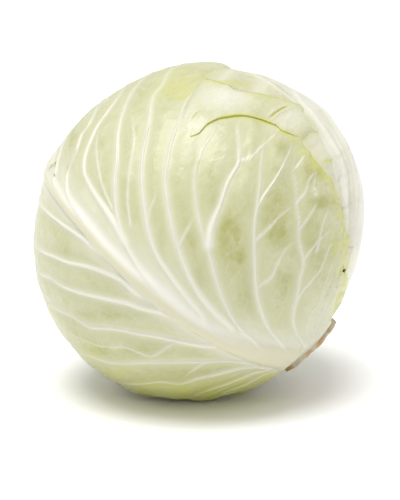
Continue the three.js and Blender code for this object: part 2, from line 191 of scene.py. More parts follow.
def way_of_pixel(pixels):
    """Where the photograph's pixels fall on the ball."""
    rays = unit(pixel_ray(pixels))
    radius = np.full(len(rays), EQUATOR_RADIUS)
    for _ in range(6):
        middle = rays @ CAMERA_FROM_CENTRE
        reach = middle**2 - (CAMERA_FROM_CENTRE @ CAMERA_FROM_CENTRE - radius**2)
        hit = CAMERA_FROM_CENTRE + rays * (-middle - np.sqrt(np.maximum(reach, 0)))[:, None]
        ways = unit(hit)
        radius = ball_radius(ways)
    return ways


def skin_radius(ways):
    """The ball, flattened where it rests on the floor."""
    return np.minimum(ball_radius(ways), floor_radius(ways))


def pixel_of(places):
    """Where the camera sees places given from the middle of the head."""
    away = places - CAMERA_FROM_CENTRE
    depth = away @ VIEWWARD
    return np.stack([
        FRAME_WIDTH / 2 + FOCAL_PX * (away @ VIEW_RIGHT) / depth,
        FRAME_HEIGHT / 2 - FOCAL_PX * (away @ VIEW_UP) / depth,
    ], axis=1)


def facing_camera(ways):
    return smoothstep(-(ways @ VIEWWARD), -0.2, 0.05)


def patches(pixels, spots):
    """Soft oval spots in the photograph's pixels: x, y, half width, half height, strength."""
    total = np.zeros(len(pixels))
    for x, y, half_width, half_height, strength in spots:
        squared = ((pixels[:, 0] - x) / half_width) ** 2 + ((pixels[:, 1] - y) / half_height) ** 2
        total = np.maximum(total, strength * np.exp(-(squared**1.3)))
    return total


def cell_borders(points, size, seed):
    """Distance to the border between irregular cells of about this size."""
    drift = np.random.default_rng(seed).uniform(0.1, 0.9, (64, 64, 2))
    places = points / size
    cells = np.floor(places).astype(int)
    nearest = np.full(len(points), 9.0)
    second = np.full(len(points), 9.0)
    for step in itertools.product((-1, 0, 1), repeat=2):
        index = cells + step
        centre = index + drift[index[:, 0] % 64, index[:, 1] % 64]
        gap = np.linalg.norm(places - centre, axis=1)
        second = np.minimum(second, np.maximum(gap, nearest))
        nearest = np.minimum(nearest, gap)
    return (second - nearest) * size / 2


def value_noise(points, size, seed):
    """Smooth noise between -1 and 1 that varies over about size millimetres."""
    lattice = np.random.default_rng(seed).uniform(-1, 1, (32, 32, 32))
    places = points / size + 100.0
    cells = np.floor(places).astype(int)
    share = places - cells
    share = share * share * (3 - 2 * share)
    total = np.zeros(len(points))
    for corner in itertools.product((0, 1), repeat=3):
        weight = np.prod(np.where(np.array(corner) == 1, share, 1 - share), axis=1)
        index = (cells + corner) % 32
        total += weight * lattice[index[:, 0], index[:, 1], index[:, 2]]
    return total


# Paths and maps

class Path:
    """A smooth line through a few points, measured by its length."""

    def __init__(self, points, fill=4, smooth=True):
        points = np.asarray(points, float)
        if smooth and len(points) > 2:
            ends = np.vstack([2 * points[0] - points[1], points, 2 * points[-1] - points[-2]])
            steps = np.arange(fill) / fill
            runs = []
            for a, b, c, d in zip(ends, ends[1:], ends[2:], ends[3:]):
                t = steps[:, None]
                runs.append(0.5 * (
                    2 * b + (c - a) * t + (2 * a - 5 * b + 4 * c - d) * t**2
                    + (3 * b - a - 3 * c + d) * t**3
                ))
            points = np.vstack(runs + [points[-1:]])
        self.points = points
        self.steps = np.diff(points, axis=0)
        self.lengths = np.maximum(np.linalg.norm(self.steps, axis=1), 1e-9)
        self.before = np.concatenate([[0], np.cumsum(self.lengths)])
        self.total = self.before[-1]

    def at(self, share):
        place = np.asarray(share) * self.total
        return np.stack([
            np.interp(place, self.before, self.points[:, axis])
            for axis in range(self.points.shape[1])
        ], axis=-1)

    def tangent(self, share):
        share = np.asarray(share)
        return unit(self.at(np.minimum(share + 0.01, 1)) - self.at(np.maximum(share - 0.01, 0)))

    def nearest(self, points, reach):
        """Distance to the path up to reach, the share of its length there, and the side."""
        low, high = self.points.min(0) - reach, self.points.max(0) + reach
        near = np.flatnonzero(((points > low) & (points < high)).all(1))
        distance = np.full(len(points), float(reach))
        share = np.zeros(len(points))
        side = np.ones(len(points))
        pieces = max(1, len(near) * len(self.steps) // 4_000_000)
        for part in np.array_split(near, pieces):
            if not len(part):
                continue
            offset = points[part, None] - self.points[:-1]
            along = np.clip((offset * self.steps).sum(2) / self.lengths**2, 0, 1)
            gap = offset - along[..., None] * self.steps
            squared = (gap**2).sum(2)
            best = squared.argmin(1)
            row = np.arange(len(part))
            distance[part] = np.minimum(np.sqrt(squared[row, best]), reach)
            share[part] = (self.before[best] + along[row, best] * self.lengths[best]) / self.total
            step, away = self.steps[best], offset[row, best]
            side[part] = np.sign(step[:, 0] * away[:, 1] - step[:, 1] * away[:, 0])
        return distance, share, side


class LeafMap:
    """A flat map of the head about one leaf, in millimetres, with y from the stem to the tip."""

    def __init__(self, longitude, polar):
        self.middle = heading(longitude, polar)
        self.tipward = heading(longitude, polar + 90)
        self.across = heading(longitude + 90, 90)

    def to_map(self, ways):
        reach = np.arccos(np.clip(ways @ self.middle, -1, 1))
        scale = EQUATOR_RADIUS * reach / np.maximum(np.sin(reach), 1e-9)
        return np.stack([ways @ self.across * scale, ways @ self.tipward * scale], axis=-1)

    def to_ways(self, points):
        reach = np.linalg.norm(points, axis=-1) / EQUATOR_RADIUS
        scale = np.where(reach < 1e-9, 1, np.sin(reach) / np.maximum(reach, 1e-9)) / EQUATOR_RADIUS
        return (
            np.cos(reach)[..., None] * self.middle
            + (points[..., 0] * scale)[..., None] * self.across
            + (points[..., 1] * scale)[..., None] * self.tipward
        )

    def places(self, pairs):
        pairs = np.asarray(pairs, float)
        return self.to_map(heading(pairs[:, 0], pairs[:, 1]))

    def pixels(self, pixels):
        return self.to_map(way_of_pixel(pixels))


def inside(points, outline):
    """Whether each point lies inside a closed outline."""
    crossings = np.zeros(len(points), int)
    for (x1, y1), (x2, y2) in zip(outline, np.roll(outline, -1, axis=0)):
        spans = (y1 > points[:, 1]) != (y2 > points[:, 1])
        with np.errstate(divide="ignore", invalid="ignore"):
            x = x1 + (points[:, 1] - y1) / (y2 - y1) * (x2 - x1)
        crossings += spans & (points[:, 0] < x)
    return crossings % 2 == 1


# What the photograph shows of the front leaf, in its pixels

MIDRIB_UPPER_EDGE = [
    (50, 170), (61, 190), (74, 206.5), (87.5, 219), (103.5, 239), (120.5, 256),
    (137, 270.5), (153, 281.5), (191, 313.5), (207.2, 324.5), (224.4, 332.5), (241.7, 337),
    (258.9, 341.7), (276, 344), (293.3, 345), (304.8, 345), (314, 340.5),
]
MIDRIB_LOWER_EDGE = [
    (46.4, 179.7), (57, 200), (75, 223.4), (88.9, 239.5), (102.7, 255.6), (121, 274),
    (140.5, 293.5), (157.8, 307.2), (180.7, 323.3), (204.9, 338.2), (219.8, 347.4),
    (235.9, 355.5), (254.3, 362.3), (270.4, 365.8), (287.6, 367.5), (300.2, 361.2), (306, 356.6),
]

# Side veins, each from its thin end to where it leaves a thicker one
SIDE_VEINS = [
    [(57.9, 166), (55.6, 178.6), (57.9, 187.8)],
    [(93.5, 116.6), (82, 135), (77.4, 148.7), (69.4, 166), (67.3, 182), (69.4, 195.8), (79.7, 212)],
    [(119.9, 94.8), (109.5, 109.7), (99.2, 123.5), (91.2, 139.5), (85.4, 155.6), (84.3, 171.7),
     (90, 186), (103, 206), (116, 226), (126, 244)],
    [(137, 85.6), (125.6, 105), (119.9, 123.5), (117.6, 137), (117, 159), (115.3, 176),
     (115.3, 192), (116.4, 210.7), (119.9, 226.8), (126, 244), (136, 262), (152, 283)],
    [(174, 68), (163, 84), (153.2, 97), (149.7, 118.9), (146.3, 137), (143.4, 153.3),
     (141.7, 171.7), (142.8, 192.3), (145, 210.7), (147.4, 226.8), (155.7, 253.3),
     (167.8, 272.7), (184.8, 294.5), (203, 316)],
    [(220, 72), (207, 77), (198, 84.4), (185.3, 105), (178.4, 123.5), (171.5, 141.8),
     (168, 160), (165.2, 178.6), (165.8, 187.8), (168, 206), (171.5, 224.5), (177.5, 246),
     (187.2, 272.7), (199.4, 294.5), (213.9, 311.5), (232, 327)],
    [(199.2, 129.2), (200.3, 141.8), (199.2, 155.6), (195.7, 171.7), (194.6, 185.5),
     (195.2, 197), (196.9, 210.7), (201.5, 229), (209.5, 254.4), (215.3, 277.4),
     (223.3, 300.4), (232.5, 318.7), (241.7, 330.2), (254, 340)],
    [(240.5, 116.6), (238.8, 132.7), (239.4, 160), (232.5, 174), (226.7, 185.5),
     (221, 202.7), (214, 219.9), (210.7, 229.2), (208.4, 246)],
    [(270.4, 124.6), (265.8, 135), (263.5, 148.7), (261.2, 164.8), (260, 183), (257.7, 203.8),
     (255.4, 219.9), (254.3, 237.2), (254.9, 263.6), (255.4, 279.7), (257.7, 298),
     (263.5, 317.6), (270.4, 331.4), (279, 341)],
    [(295.6, 147.6), (294, 166), (293.8, 172.8), (295.6, 183.2), (296.8, 207.3), (299, 222.2),
     (299, 240.7), (303.6, 262.5), (300.2, 277.4), (296.8, 298), (293.3, 311.8),
     (293.3, 323.3), (296.8, 334.8), (302, 343)],
    [(43, 207.3), (51, 215.3), (60.2, 222.2), (71.7, 230.3), (84.3, 238.4), (98, 249)],
    [(34.9, 241.8), (41.8, 251), (52, 255.6), (68.2, 262.5), (84.3, 266), (100.4, 270.5),
     (115.3, 276.3), (125.6, 282), (138, 292)],
    [(40.7, 272.8), (49.8, 277.4), (63.6, 286.6), (79.7, 292.3), (98, 297), (114, 300.4),
     (126.8, 302.7), (141.7, 307.2), (158, 310)],
    [(43, 298), (54.4, 307.2), (69.4, 314), (82, 322), (91.2, 326.8), (107.2, 328),
     (123.3, 330), (139.4, 333.6), (157.8, 336), (172.7, 339.4), (190, 342.7), (208, 345)],
    [(91.2, 356.6), (105, 361.2), (123.3, 363.5), (146.3, 362.3), (180.8, 361.4),
     (203.3, 361.4), (221.6, 359.9), (236.9, 360.4), (252.2, 363.5), (269, 367)],
    [(140, 383.9), (160.4, 381.8), (180.8, 383.9), (197, 378.8), (211.4, 375.7),
     (226.7, 371.6), (242, 367.6), (257.3, 366), (274, 367)],
    [(185.9, 400), (197, 395), (211.4, 389), (226.7, 383.9), (242, 377.8), (257.3, 371.6),
     (270, 368)],
    [(213.5, 398), (223.7, 393), (236.9, 388), (250.2, 381.8), (262.4, 374.7), (276, 369)],
]
BRANCH_VEINS = [
    [(66, 326.8), (79.7, 337), (95.8, 344), (111.8, 346.3), (125.6, 346.3), (140.5, 352),
     (152, 356), (163.5, 349), (173.8, 341.7)],
    [(157.8, 193.5), (149.7, 210.7), (147.4, 226.8)],
    [(193.3, 219.4), (184.8, 234), (177.5, 248)],
    [(217.6, 120), (211.8, 135), (202.6, 148.7), (199.2, 159)],
    [(279.5, 129.2), (275, 135), (261, 147.6), (252, 156.8), (239.4, 161.3)],
    [(286.4, 137.2), (291, 145.3), (287.6, 155.6), (280.7, 169.4), (272.7, 183.2),
     (264.6, 194.6), (258.5, 205)],
    [(294.5, 206), (286.4, 210.7), (277.2, 218.7), (268, 229), (256, 240)],
    [(297.9, 240.7), (287.6, 246.4), (281.8, 254.4), (275, 268.2), (270.4, 277.4),
     (261.2, 284.3), (256, 291)],
    [(305.3, 154.4), (301, 161.3), (296, 168)],
    [(317.3, 171), (308.7, 179.7), (306.4, 188.9), (304, 194), (299.5, 199.2), (296.6, 204)],
    [(316, 171.7), (313.3, 184.9), (315.6, 195.2)],
    [(318.6, 200), (310.4, 212.8), (304.3, 223), (299, 229)],
    [(329.3, 205), (324.7, 216.3), (320.6, 228.6), (317.6, 243.4), (315.5, 251)],
    [(333.9, 227.6), (325.7, 233.7), (318.6, 239.8), (310.4, 250), (302.5, 262)],
    [(342, 240.3), (330.8, 243.4), (325.7, 253.6), (319.7, 269.4), (311.7, 279.7),
     (302.5, 291.2), (296, 302)],
    [(340.4, 245), (334.6, 254.4), (327.8, 271.7), (322, 288.9), (317.4, 302.7),
     (309.4, 314), (306, 326.8), (307, 339)],
    [(343.8, 284.3), (332.3, 287.7), (326.6, 293.5), (324.3, 302.7), (318, 318), (313, 332)],
    [(35, 241), (39.5, 250), (39, 260), (40.7, 270.5), (47.5, 294.6), (54.4, 307)],
    [(116.4, 288.9), (134.8, 291), (146, 299)],
    [(183.9, 377.8), (191, 370.6), (201.2, 364.5), (211.4, 361.4)],
    [(102, 120), (97, 143), (99, 170), (104, 190), (112, 208)],
    [(132, 112), (134, 140), (130, 170), (128, 200), (131, 226)],
]

# The front leaf's free edge on its right, from the stem up to the pleat
RIGHT_MARGIN = [
    (330, 319.5), (333, 314.4), (336.3, 305.5), (337.6, 299), (338.6, 292.8), (344.6, 292),
    (347.3, 285.4), (347.3, 279.7), (344, 273), (340.5, 269.9), (344, 264.3), (345.6, 259.7),
    (345.9, 254), (342.6, 245.9), (343.6, 243.9), (347.7, 242.3), (350, 238.8), (344, 230.6),
    (343.6, 220.4), (342, 208.4), (338, 198.6), (335, 192.3), (332.2, 182), (326, 173.4),
    (320.2, 166), (314.4, 159), (310, 150.4), (307.6, 145.3), (306, 141),
]
# The edge of the pleat, from its right end to the top of the head
PLEAT_MARGIN = [
    (312, 136.5), (320, 132), (316, 124), (312, 117), (304, 105), (297, 104), (285, 101),
    (272, 98), (259, 94), (246, 91), (236, 88), (228, 84), (207, 77),
]
# Where the pleat folds over the leaf below it, from its left end
PLEAT_RIM = [
    (184, 158), (188, 150), (192, 140), (195, 132), (200, 128.5), (208, 124), (218, 119),
    (229, 117), (240, 115), (248, 116), (256, 118), (266, 121.5), (275, 125), (281, 131),
    (289, 134), (297, 136), (306, 138.5),
]
# Where the painted shade line under the rim is darkest: x, y, half width, half height, strength
RIM_GAPS = [
    (204, 126, 9, 6, 1.0), (230, 117, 13, 5, 1.0), (266, 121, 8, 5, 0.9), (287, 134, 9, 4, 0.6),
]
# Sharp little folds, each with how strongly painted shade shows along it as an olive line
CREASES = [
    (0.4, [(49, 171), (53, 167), (57, 164), (62, 160)]),
    (0.8, [(266, 121), (271, 117.5), (276, 113.5), (282, 110), (290, 107.5)]),
    (0.5, [(190, 121), (196, 116), (202, 111)]),
    (0.1, [(180, 123), (184, 112), (190, 100), (198, 86), (206, 77)]),
]
# Where the leaf's top patch slips under the panel below it
PATCH_EDGE = [(160, 103), (167, 101), (178, 99), (189, 95), (197, 84), (206, 77)]

# Greener spots between the veins: x, y, half width, half height, strength
GREEN_PATCHES = [
    (229, 233, 15, 27, 1.0), (240, 255, 6, 12, 0.8), (215, 201, 8, 11, 0.8),
    (277, 235, 15, 16, 0.8), (271, 215, 20, 38, 0.5), (190, 238, 8, 13, 0.65),
    (196, 280, 7, 13, 0.65), (161, 246, 6, 18, 0.5), (105, 212, 7, 17, 0.6),
    (80, 182, 6, 13, 0.5), (87, 315, 15, 7, 0.55), (100, 351, 12, 6, 0.5),
    (82, 228, 16, 9, 0.4), (102, 142, 5, 8, 0.4), (246, 300, 12, 22, 0.4),
    (285, 280, 11, 16, 0.4), (315, 171, 15, 12, 0.85), (283, 150, 8, 8, 0.6),
    (320, 203, 14, 7, 0.75), (205, 185, 13, 26, 0.4), (132, 80, 12, 12, 0.3),
    (305, 240, 15, 32, 0.4), (142, 351, 32, 7, 0.4), (175, 375, 60, 9, 0.5),
    (60, 255, 12, 9, 0.35), (120, 315, 20, 5, 0.35), (70, 140, 12, 16, 0.3),
]
# The yellower patch at the top of the leaf, and the pale one on the pleat
TOP_PATCH = [(180, 88, 24, 17, 1.0)]
PLEAT_PALE = [(225, 98, 28, 17, 1.0), (288, 120, 22, 15, 0.8), (193, 120, 12, 26, 0.6)]

# Yellow-green places along the margins, at the bottom and then elsewhere
BOTTOM_LUSH = [
    (150, 389, 26, 12, 0.7), (180, 396, 24, 15, 0.95), (212, 397, 28, 16, 1.0),
    (242, 391, 26, 15, 1.0), (268, 380, 20, 10, 0.9), (115, 376, 20, 10, 0.5),
    (90, 352, 14, 10, 0.3), (286, 374, 9, 6, 0.8),
]
LUSH_PATCHES = BOTTOM_LUSH + [
    (347, 285, 7, 10, 1.0), (345, 256, 5, 10, 0.9), (347, 238, 5, 6, 0.8), (341, 212, 4, 9, 0.65),
    (335, 190, 4, 9, 0.75), (327, 175, 7, 6, 0.75), (318, 166, 9, 6, 0.7), (305, 150, 8, 8, 0.5),
    (296, 140, 9, 5, 0.45), (337, 302, 4, 9, 0.6), (334, 246, 5, 12, 0.5), (50, 315, 6, 9, 0.3),
]
# Where the blade is most puckered
PUCKERED = [
    (245, 160, 62, 40, 1.0), (300, 200, 45, 60, 0.8), (265, 250, 70, 60, 0.5),
    (310, 290, 22, 40, 0.7),
]
# Where the front leaf's edge lies flush with the leaf under it, and where painted shade shows as a line
# under it
SUNK_EDGES = [(313, 116, 15, 24, 1.0), (313, 136, 13, 12, 1.0), (230, 66, 32, 13, 1.0)]
PLEAT_EDGE = [(225, 83, 22, 7, 1.0), (258, 94, 20, 7, 1.0), (285, 100, 16, 5, 0.7)]

# What the photograph shows of the right leaf
RIGHT_LEAF_RIBS = [
    [(262, 72), (285, 85), (303, 100), (317, 116), (327, 131), (334, 144), (340, 158),
     (344, 172), (347, 190), (348, 212), (347, 240), (344, 268)],
    [(285, 79), (303, 91), (320, 107), (334, 125), (344, 143), (351, 160), (355, 180),
     (356.5, 205), (355.5, 230), (352, 255), (346, 283)],
    [(240, 70), (262, 80), (283, 92), (300, 104), (313, 118)],
]
RIGHT_LEAF_GROOVES = [
    [(276, 78), (293, 90), (303, 99), (313, 109), (322, 118), (330, 127), (337, 138),
     (342, 150), (346, 160), (349, 170), (351, 185), (352, 200), (352.5, 230), (350, 262)],
    [(340, 175), (344, 190), (345.5, 210), (346, 225)],
]
RIGHT_LEAF_FOLD = [(207, 77), (214, 78.5), (222, 78.5), (230, 79), (238, 81), (246, 83), (257, 86)]
RIGHT_LEAF_TEAR = [
    (324.5, 159.8), (326.5, 161.3), (328.5, 159.6), (331, 160.8), (333, 159.3), (335.4, 159),
]
RIGHT_LEAF_CRINKLE_EDGE = [
    (296, 99), (308, 112), (315, 119), (320, 128), (323, 138), (327, 148), (331, 157),
    (334, 168), (338, 178), (341, 188), (343, 200), (345, 214),
]

# Pixels that lie on the upper side of the midrib, on the top patch, on the pleat and on the
# right leaf's crinkled strip, and the columns over which its pale strip begins
ABOVE_MIDRIB = (150, 240)
ON_TOP_PATCH = (178, 85)
ON_PLEAT = (240, 100)
ON_CRINKLED_STRIP = (322, 150)
PALE_STRIP_X = (225, 300)

# Brown places on the rim of the stem
STEM_BROWN = [
    (329, 329, 4, 4, 0.7), (320, 341, 6, 8, 1.0), (309, 354, 4, 5, 0.9), (299, 365, 4, 4, 0.8),
    (290, 371, 6, 5, 1.0),
]

# The front leaf's middle, root and hidden lines, as longitude and polar angle
FRONT_MAP_CENTRE = (15, 108)
FRONT_ROOT = (15, 8.2)
RIGHT_CORNER = (-38, 18)
HIDDEN_MIDRIB = [(105, 163), (150, 162), (175, 152)]
TOP_MARGIN = [
    (-74, 126), (-86, 122), (-100, 123), (-112, 128), (-119, 137), (-127, 144), (-137, 149),
    (-150, 152), (-165, 154), (-178, 153),
]
LOWER_MARGIN = [
    (56, 14), (64, 18), (70, 23), (73, 28), (77, 34), (79, 41), (81, 48), (82, 54), (83, 59),
    (84, 65), (90, 72), (91, 81), (97, 88), (98, 97), (106, 104), (108, 113), (117, 120),
    (121, 129), (132, 136), (142, 143), (152, 147), (163, 150), (172, 152),
]
BASE_TO_RIGHT = [FRONT_ROOT, (4, 8.2), (-16, 14), (-30, 17), RIGHT_CORNER]
BASE_TO_LOWER = [FRONT_ROOT, (26, 9), (40, 11.5), (56, 14)]
# Half widths of the midrib, in mm, where it is out of sight
HIDDEN_HALF_WIDTHS = [1.3, 1, 0.7]

# Which share of the midrib and of each margin a side vein joins
VEIN_STARTS = [0, 0.05, 0.09, 0.11, 0.14, 0.17, 0.22, 0.28, 0.33, 0.43, 0.5, 0.6, 0.69, 0.78, 1]
RIGHT_ENDS = [0, 0.12, 0.24, 0.34, 0.4, 0.45, 0.53, 0.61, 0.68, 0.76, 0.83, 0.9, 0.95, 0.975, 1]
LOWER_ENDS = [0, 0.04, 0.09, 0.17, 0.31, 0.42, 0.5, 0.58, 0.63, 0.72, 0.77, 0.83, 0.88, 0.92, 1]

# Where side veins that run out of sight meet the right and the lower margin, as shares of those
SEEN_VEIN_ENDS = {0: 0.985, 1: 0.95, 2: 0.885, 3: 0.81, 4: 0.72}
SEEN_LOWER_VEIN_ENDS = {10: 0.86, 11: 0.8, 12: 0.74, 13: 0.66, 14: 0.5, 15: 0.38}
# Side veins that are hidden all the way, as shares of the midrib, right margin and lower margin
HIDDEN_VEINS = [(0.83, 0.99, 0.9), (0.88, 0.993, 0.93), (0.93, 0.996, 0.96)]


# Meshes

# How many steps of a blade's outer grid there are to one of its inner grid
INNER_STEP = 4


def lowest_near(values, reach):
    """The lowest value within reach steps of each place of a grid."""
    for axis in (0, 1):
        padding = [(0, 0), (0, 0)]
        padding[axis] = (reach, reach)
        padded = np.pad(values, padding, mode="edge")
        count = values.shape[axis]
        shifted = [np.take(padded, np.arange(k, k + count), axis) for k in range(2 * reach + 1)]
        values = np.min(shifted, 0)
    return values


def closed_blade(name, outer, thickness):
    """A thin closed shell: a fine outer grid over a coarser inner one, in metres."""
    columns, rows = outer.shape[:2]
    depth = lowest_near(np.linalg.norm(outer - CENTRE, axis=2), INNER_STEP)
    way = unit(outer[::INNER_STEP, ::INNER_STEP] - CENTRE)
    inner = CENTRE + way * (depth - thickness)[::INNER_STEP, ::INNER_STEP, None]
    outer_id = np.arange(columns * rows).reshape(columns, rows)
    inner_id = outer_id.size + np.arange(inner.shape[0] * inner.shape[1]).reshape(inner.shape[:2])
    points = np.vstack([outer.reshape(-1, 3), inner.reshape(-1, 3)]) * MM

    def quads(ids):
        return np.stack([ids[:-1, :-1], ids[1:, :-1], ids[1:, 1:], ids[:-1, 1:]], -1).reshape(-1, 4)

    faces = quads(outer_id).tolist() + quads(inner_id)[:, ::-1].tolist()
    sides = [
        (outer_id[0], inner_id[0]),
        (outer_id[:, -1], inner_id[:, -1]),
        (outer_id[-1, ::-1], inner_id[-1, ::-1]),
        (outer_id[::-1, 0], inner_id[::-1, 0]),
    ]
    half = INNER_STEP // 2
    for fine, coarse in sides:
        for k in range(len(coarse) - 1):
            run = fine[k * INNER_STEP:(k + 1) * INNER_STEP + 1]
            for j in range(INNER_STEP):
                faces.append([run[j], run[j + 1], coarse[k] if j < half else coarse[k + 1]])
            faces.append([run[half], coarse[k + 1], coarse[k]])
    return smooth_mesh(name, points, faces)


def smooth_mesh(name, points, faces):
    """A smooth-shaded mesh from points in metres."""
    mesh = bpy.data.meshes.new(name)
    mesh.from_pydata(points.tolist(), [], faces)
    mesh.polygons.foreach_set("use_smooth", np.ones(len(mesh.polygons), bool))
    mesh.update()
    return mesh


def paint(mesh, name, values):
    """Stores one value for each point, for the material."""
    attribute = mesh.attributes.new(name, "FLOAT", "POINT")
    attribute.data.foreach_set("value", values.astype(np.float32))


def leaf_mesh(name, ways, radius, shape, thickness, looks):
    """A blade with its outside at these radii, and what its material asks for at each point."""
    mesh = closed_blade(name, (CENTRE + ways * radius[:, None]).reshape(*shape, 3), thickness)
    for label, values in looks.items():
        under = values.reshape(shape)[::INNER_STEP, ::INNER_STEP]
        paint(mesh, label, np.concatenate([values, under.reshape(-1)]))
    return mesh


def add_piece(mesh, material, node):
    piece = bpy.data.objects.new(mesh.name, mesh)
    bpy.context.scene.collection.objects.link(piece)
    mesh.materials.append(material)
    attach(piece, "root")
    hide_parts(node)


def vein_curves(midrib, margin, base, ends, columns, rows):
    """Points of one half of a leaf: columns leave the midrib and bow out to the margin."""
    starts = np.interp(columns, np.linspace(0, 1, len(VEIN_STARTS)), VEIN_STARTS)
    stops = np.interp(columns, np.linspace(0, 1, len(ends)), ends)
    first, last = midrib.at(starts), margin.at(stops)
    tangent = midrib.tangent(starts)
    reach = last - first
    forward = tangent * (reach * tangent).sum(1, keepdims=True)
    along = lerp(0.88, 0.5, smoothstep(columns, 0.9, 1))[:, None]
    control = first + forward * along + (reach - forward) * (1 - along)
    t = np.broadcast_to(rows, (len(columns), np.shape(rows)[-1]))[..., None]
    curve = (1 - t) ** 2 * first[:, None] + 2 * t * (1 - t) * control[:, None] + t**2 * last[:, None]
    pull = (1 - smoothstep(columns, 0, 0.09))[:, None, None]
    return curve + pull * (base.at(t[..., 0]) - curve[:1])


def ribs(points, veins, widths, heights, halo_widths, reach, flare=0.0):
    """Raised veins: height, ridge, pale halo and the distance to the nearest one.

    Each pair of widths or heights is that of a vein's thin end and of its root.
    """
    height = np.zeros(len(points))
    ridge = np.zeros(len(points))
    halo = np.zeros(len(points))
    nearest = np.full(len(points), float(reach))
    for vein in veins:
        distance, share, _ = vein.nearest(points, reach)
        width = lerp(*widths, share**1.5) * (1 + flare * smoothstep(share, 0.7, 1))
        top = lerp(*heights, share) * smoothstep(share, -0.02, 0.12)
        height = np.maximum(height, top * bell(distance, width))
        shown = smoothstep(share, -0.02, 0.25)
        ridge = np.maximum(ridge, shown * lerp(0.45, 1, share) * bell(distance, width * 1.05))
        halo = np.maximum(halo, shown * lerp(0.5, 1, share) * bell(distance, lerp(*halo_widths, share)))
        nearest = np.minimum(nearest, distance)
    return height, ridge, halo, nearest


# The front leaf

# The front leaf's grid. Past SEEN_COLUMNS of its columns, at SEEN_SHARE of its length, it is
# hidden from the camera and the columns stand further apart.
FRONT_COLUMNS = 1001
FRONT_ROWS = 121
SEEN_COLUMNS = 0.78
SEEN_SHARE = 0.66


def front_midrib(leaf_map):
    """The midrib's middle line, and its half width at each share of its length."""
    upper = Path(leaf_map.pixels(MIDRIB_UPPER_EDGE)).at(np.linspace(1, 0, 24))
    lower_edge = Path(leaf_map.pixels(MIDRIB_LOWER_EDGE))
    _, lower_share, _ = lower_edge.nearest(upper, 60)
    lower = lower_edge.at(lower_share)
    seen_widths = np.linalg.norm(upper - lower, axis=1) / 2
    points = np.vstack([
        leaf_map.places([FRONT_ROOT]), (upper + lower) / 2, leaf_map.places(HIDDEN_MIDRIB),
    ])
    midrib = Path(points)
    width_at = Path(points, smooth=False).before
    widths = np.concatenate([[seen_widths[0]], seen_widths, HIDDEN_HALF_WIDTHS])

    def half_width(share):
        return np.interp(share * midrib.total, width_at, widths)

    return midrib, half_width


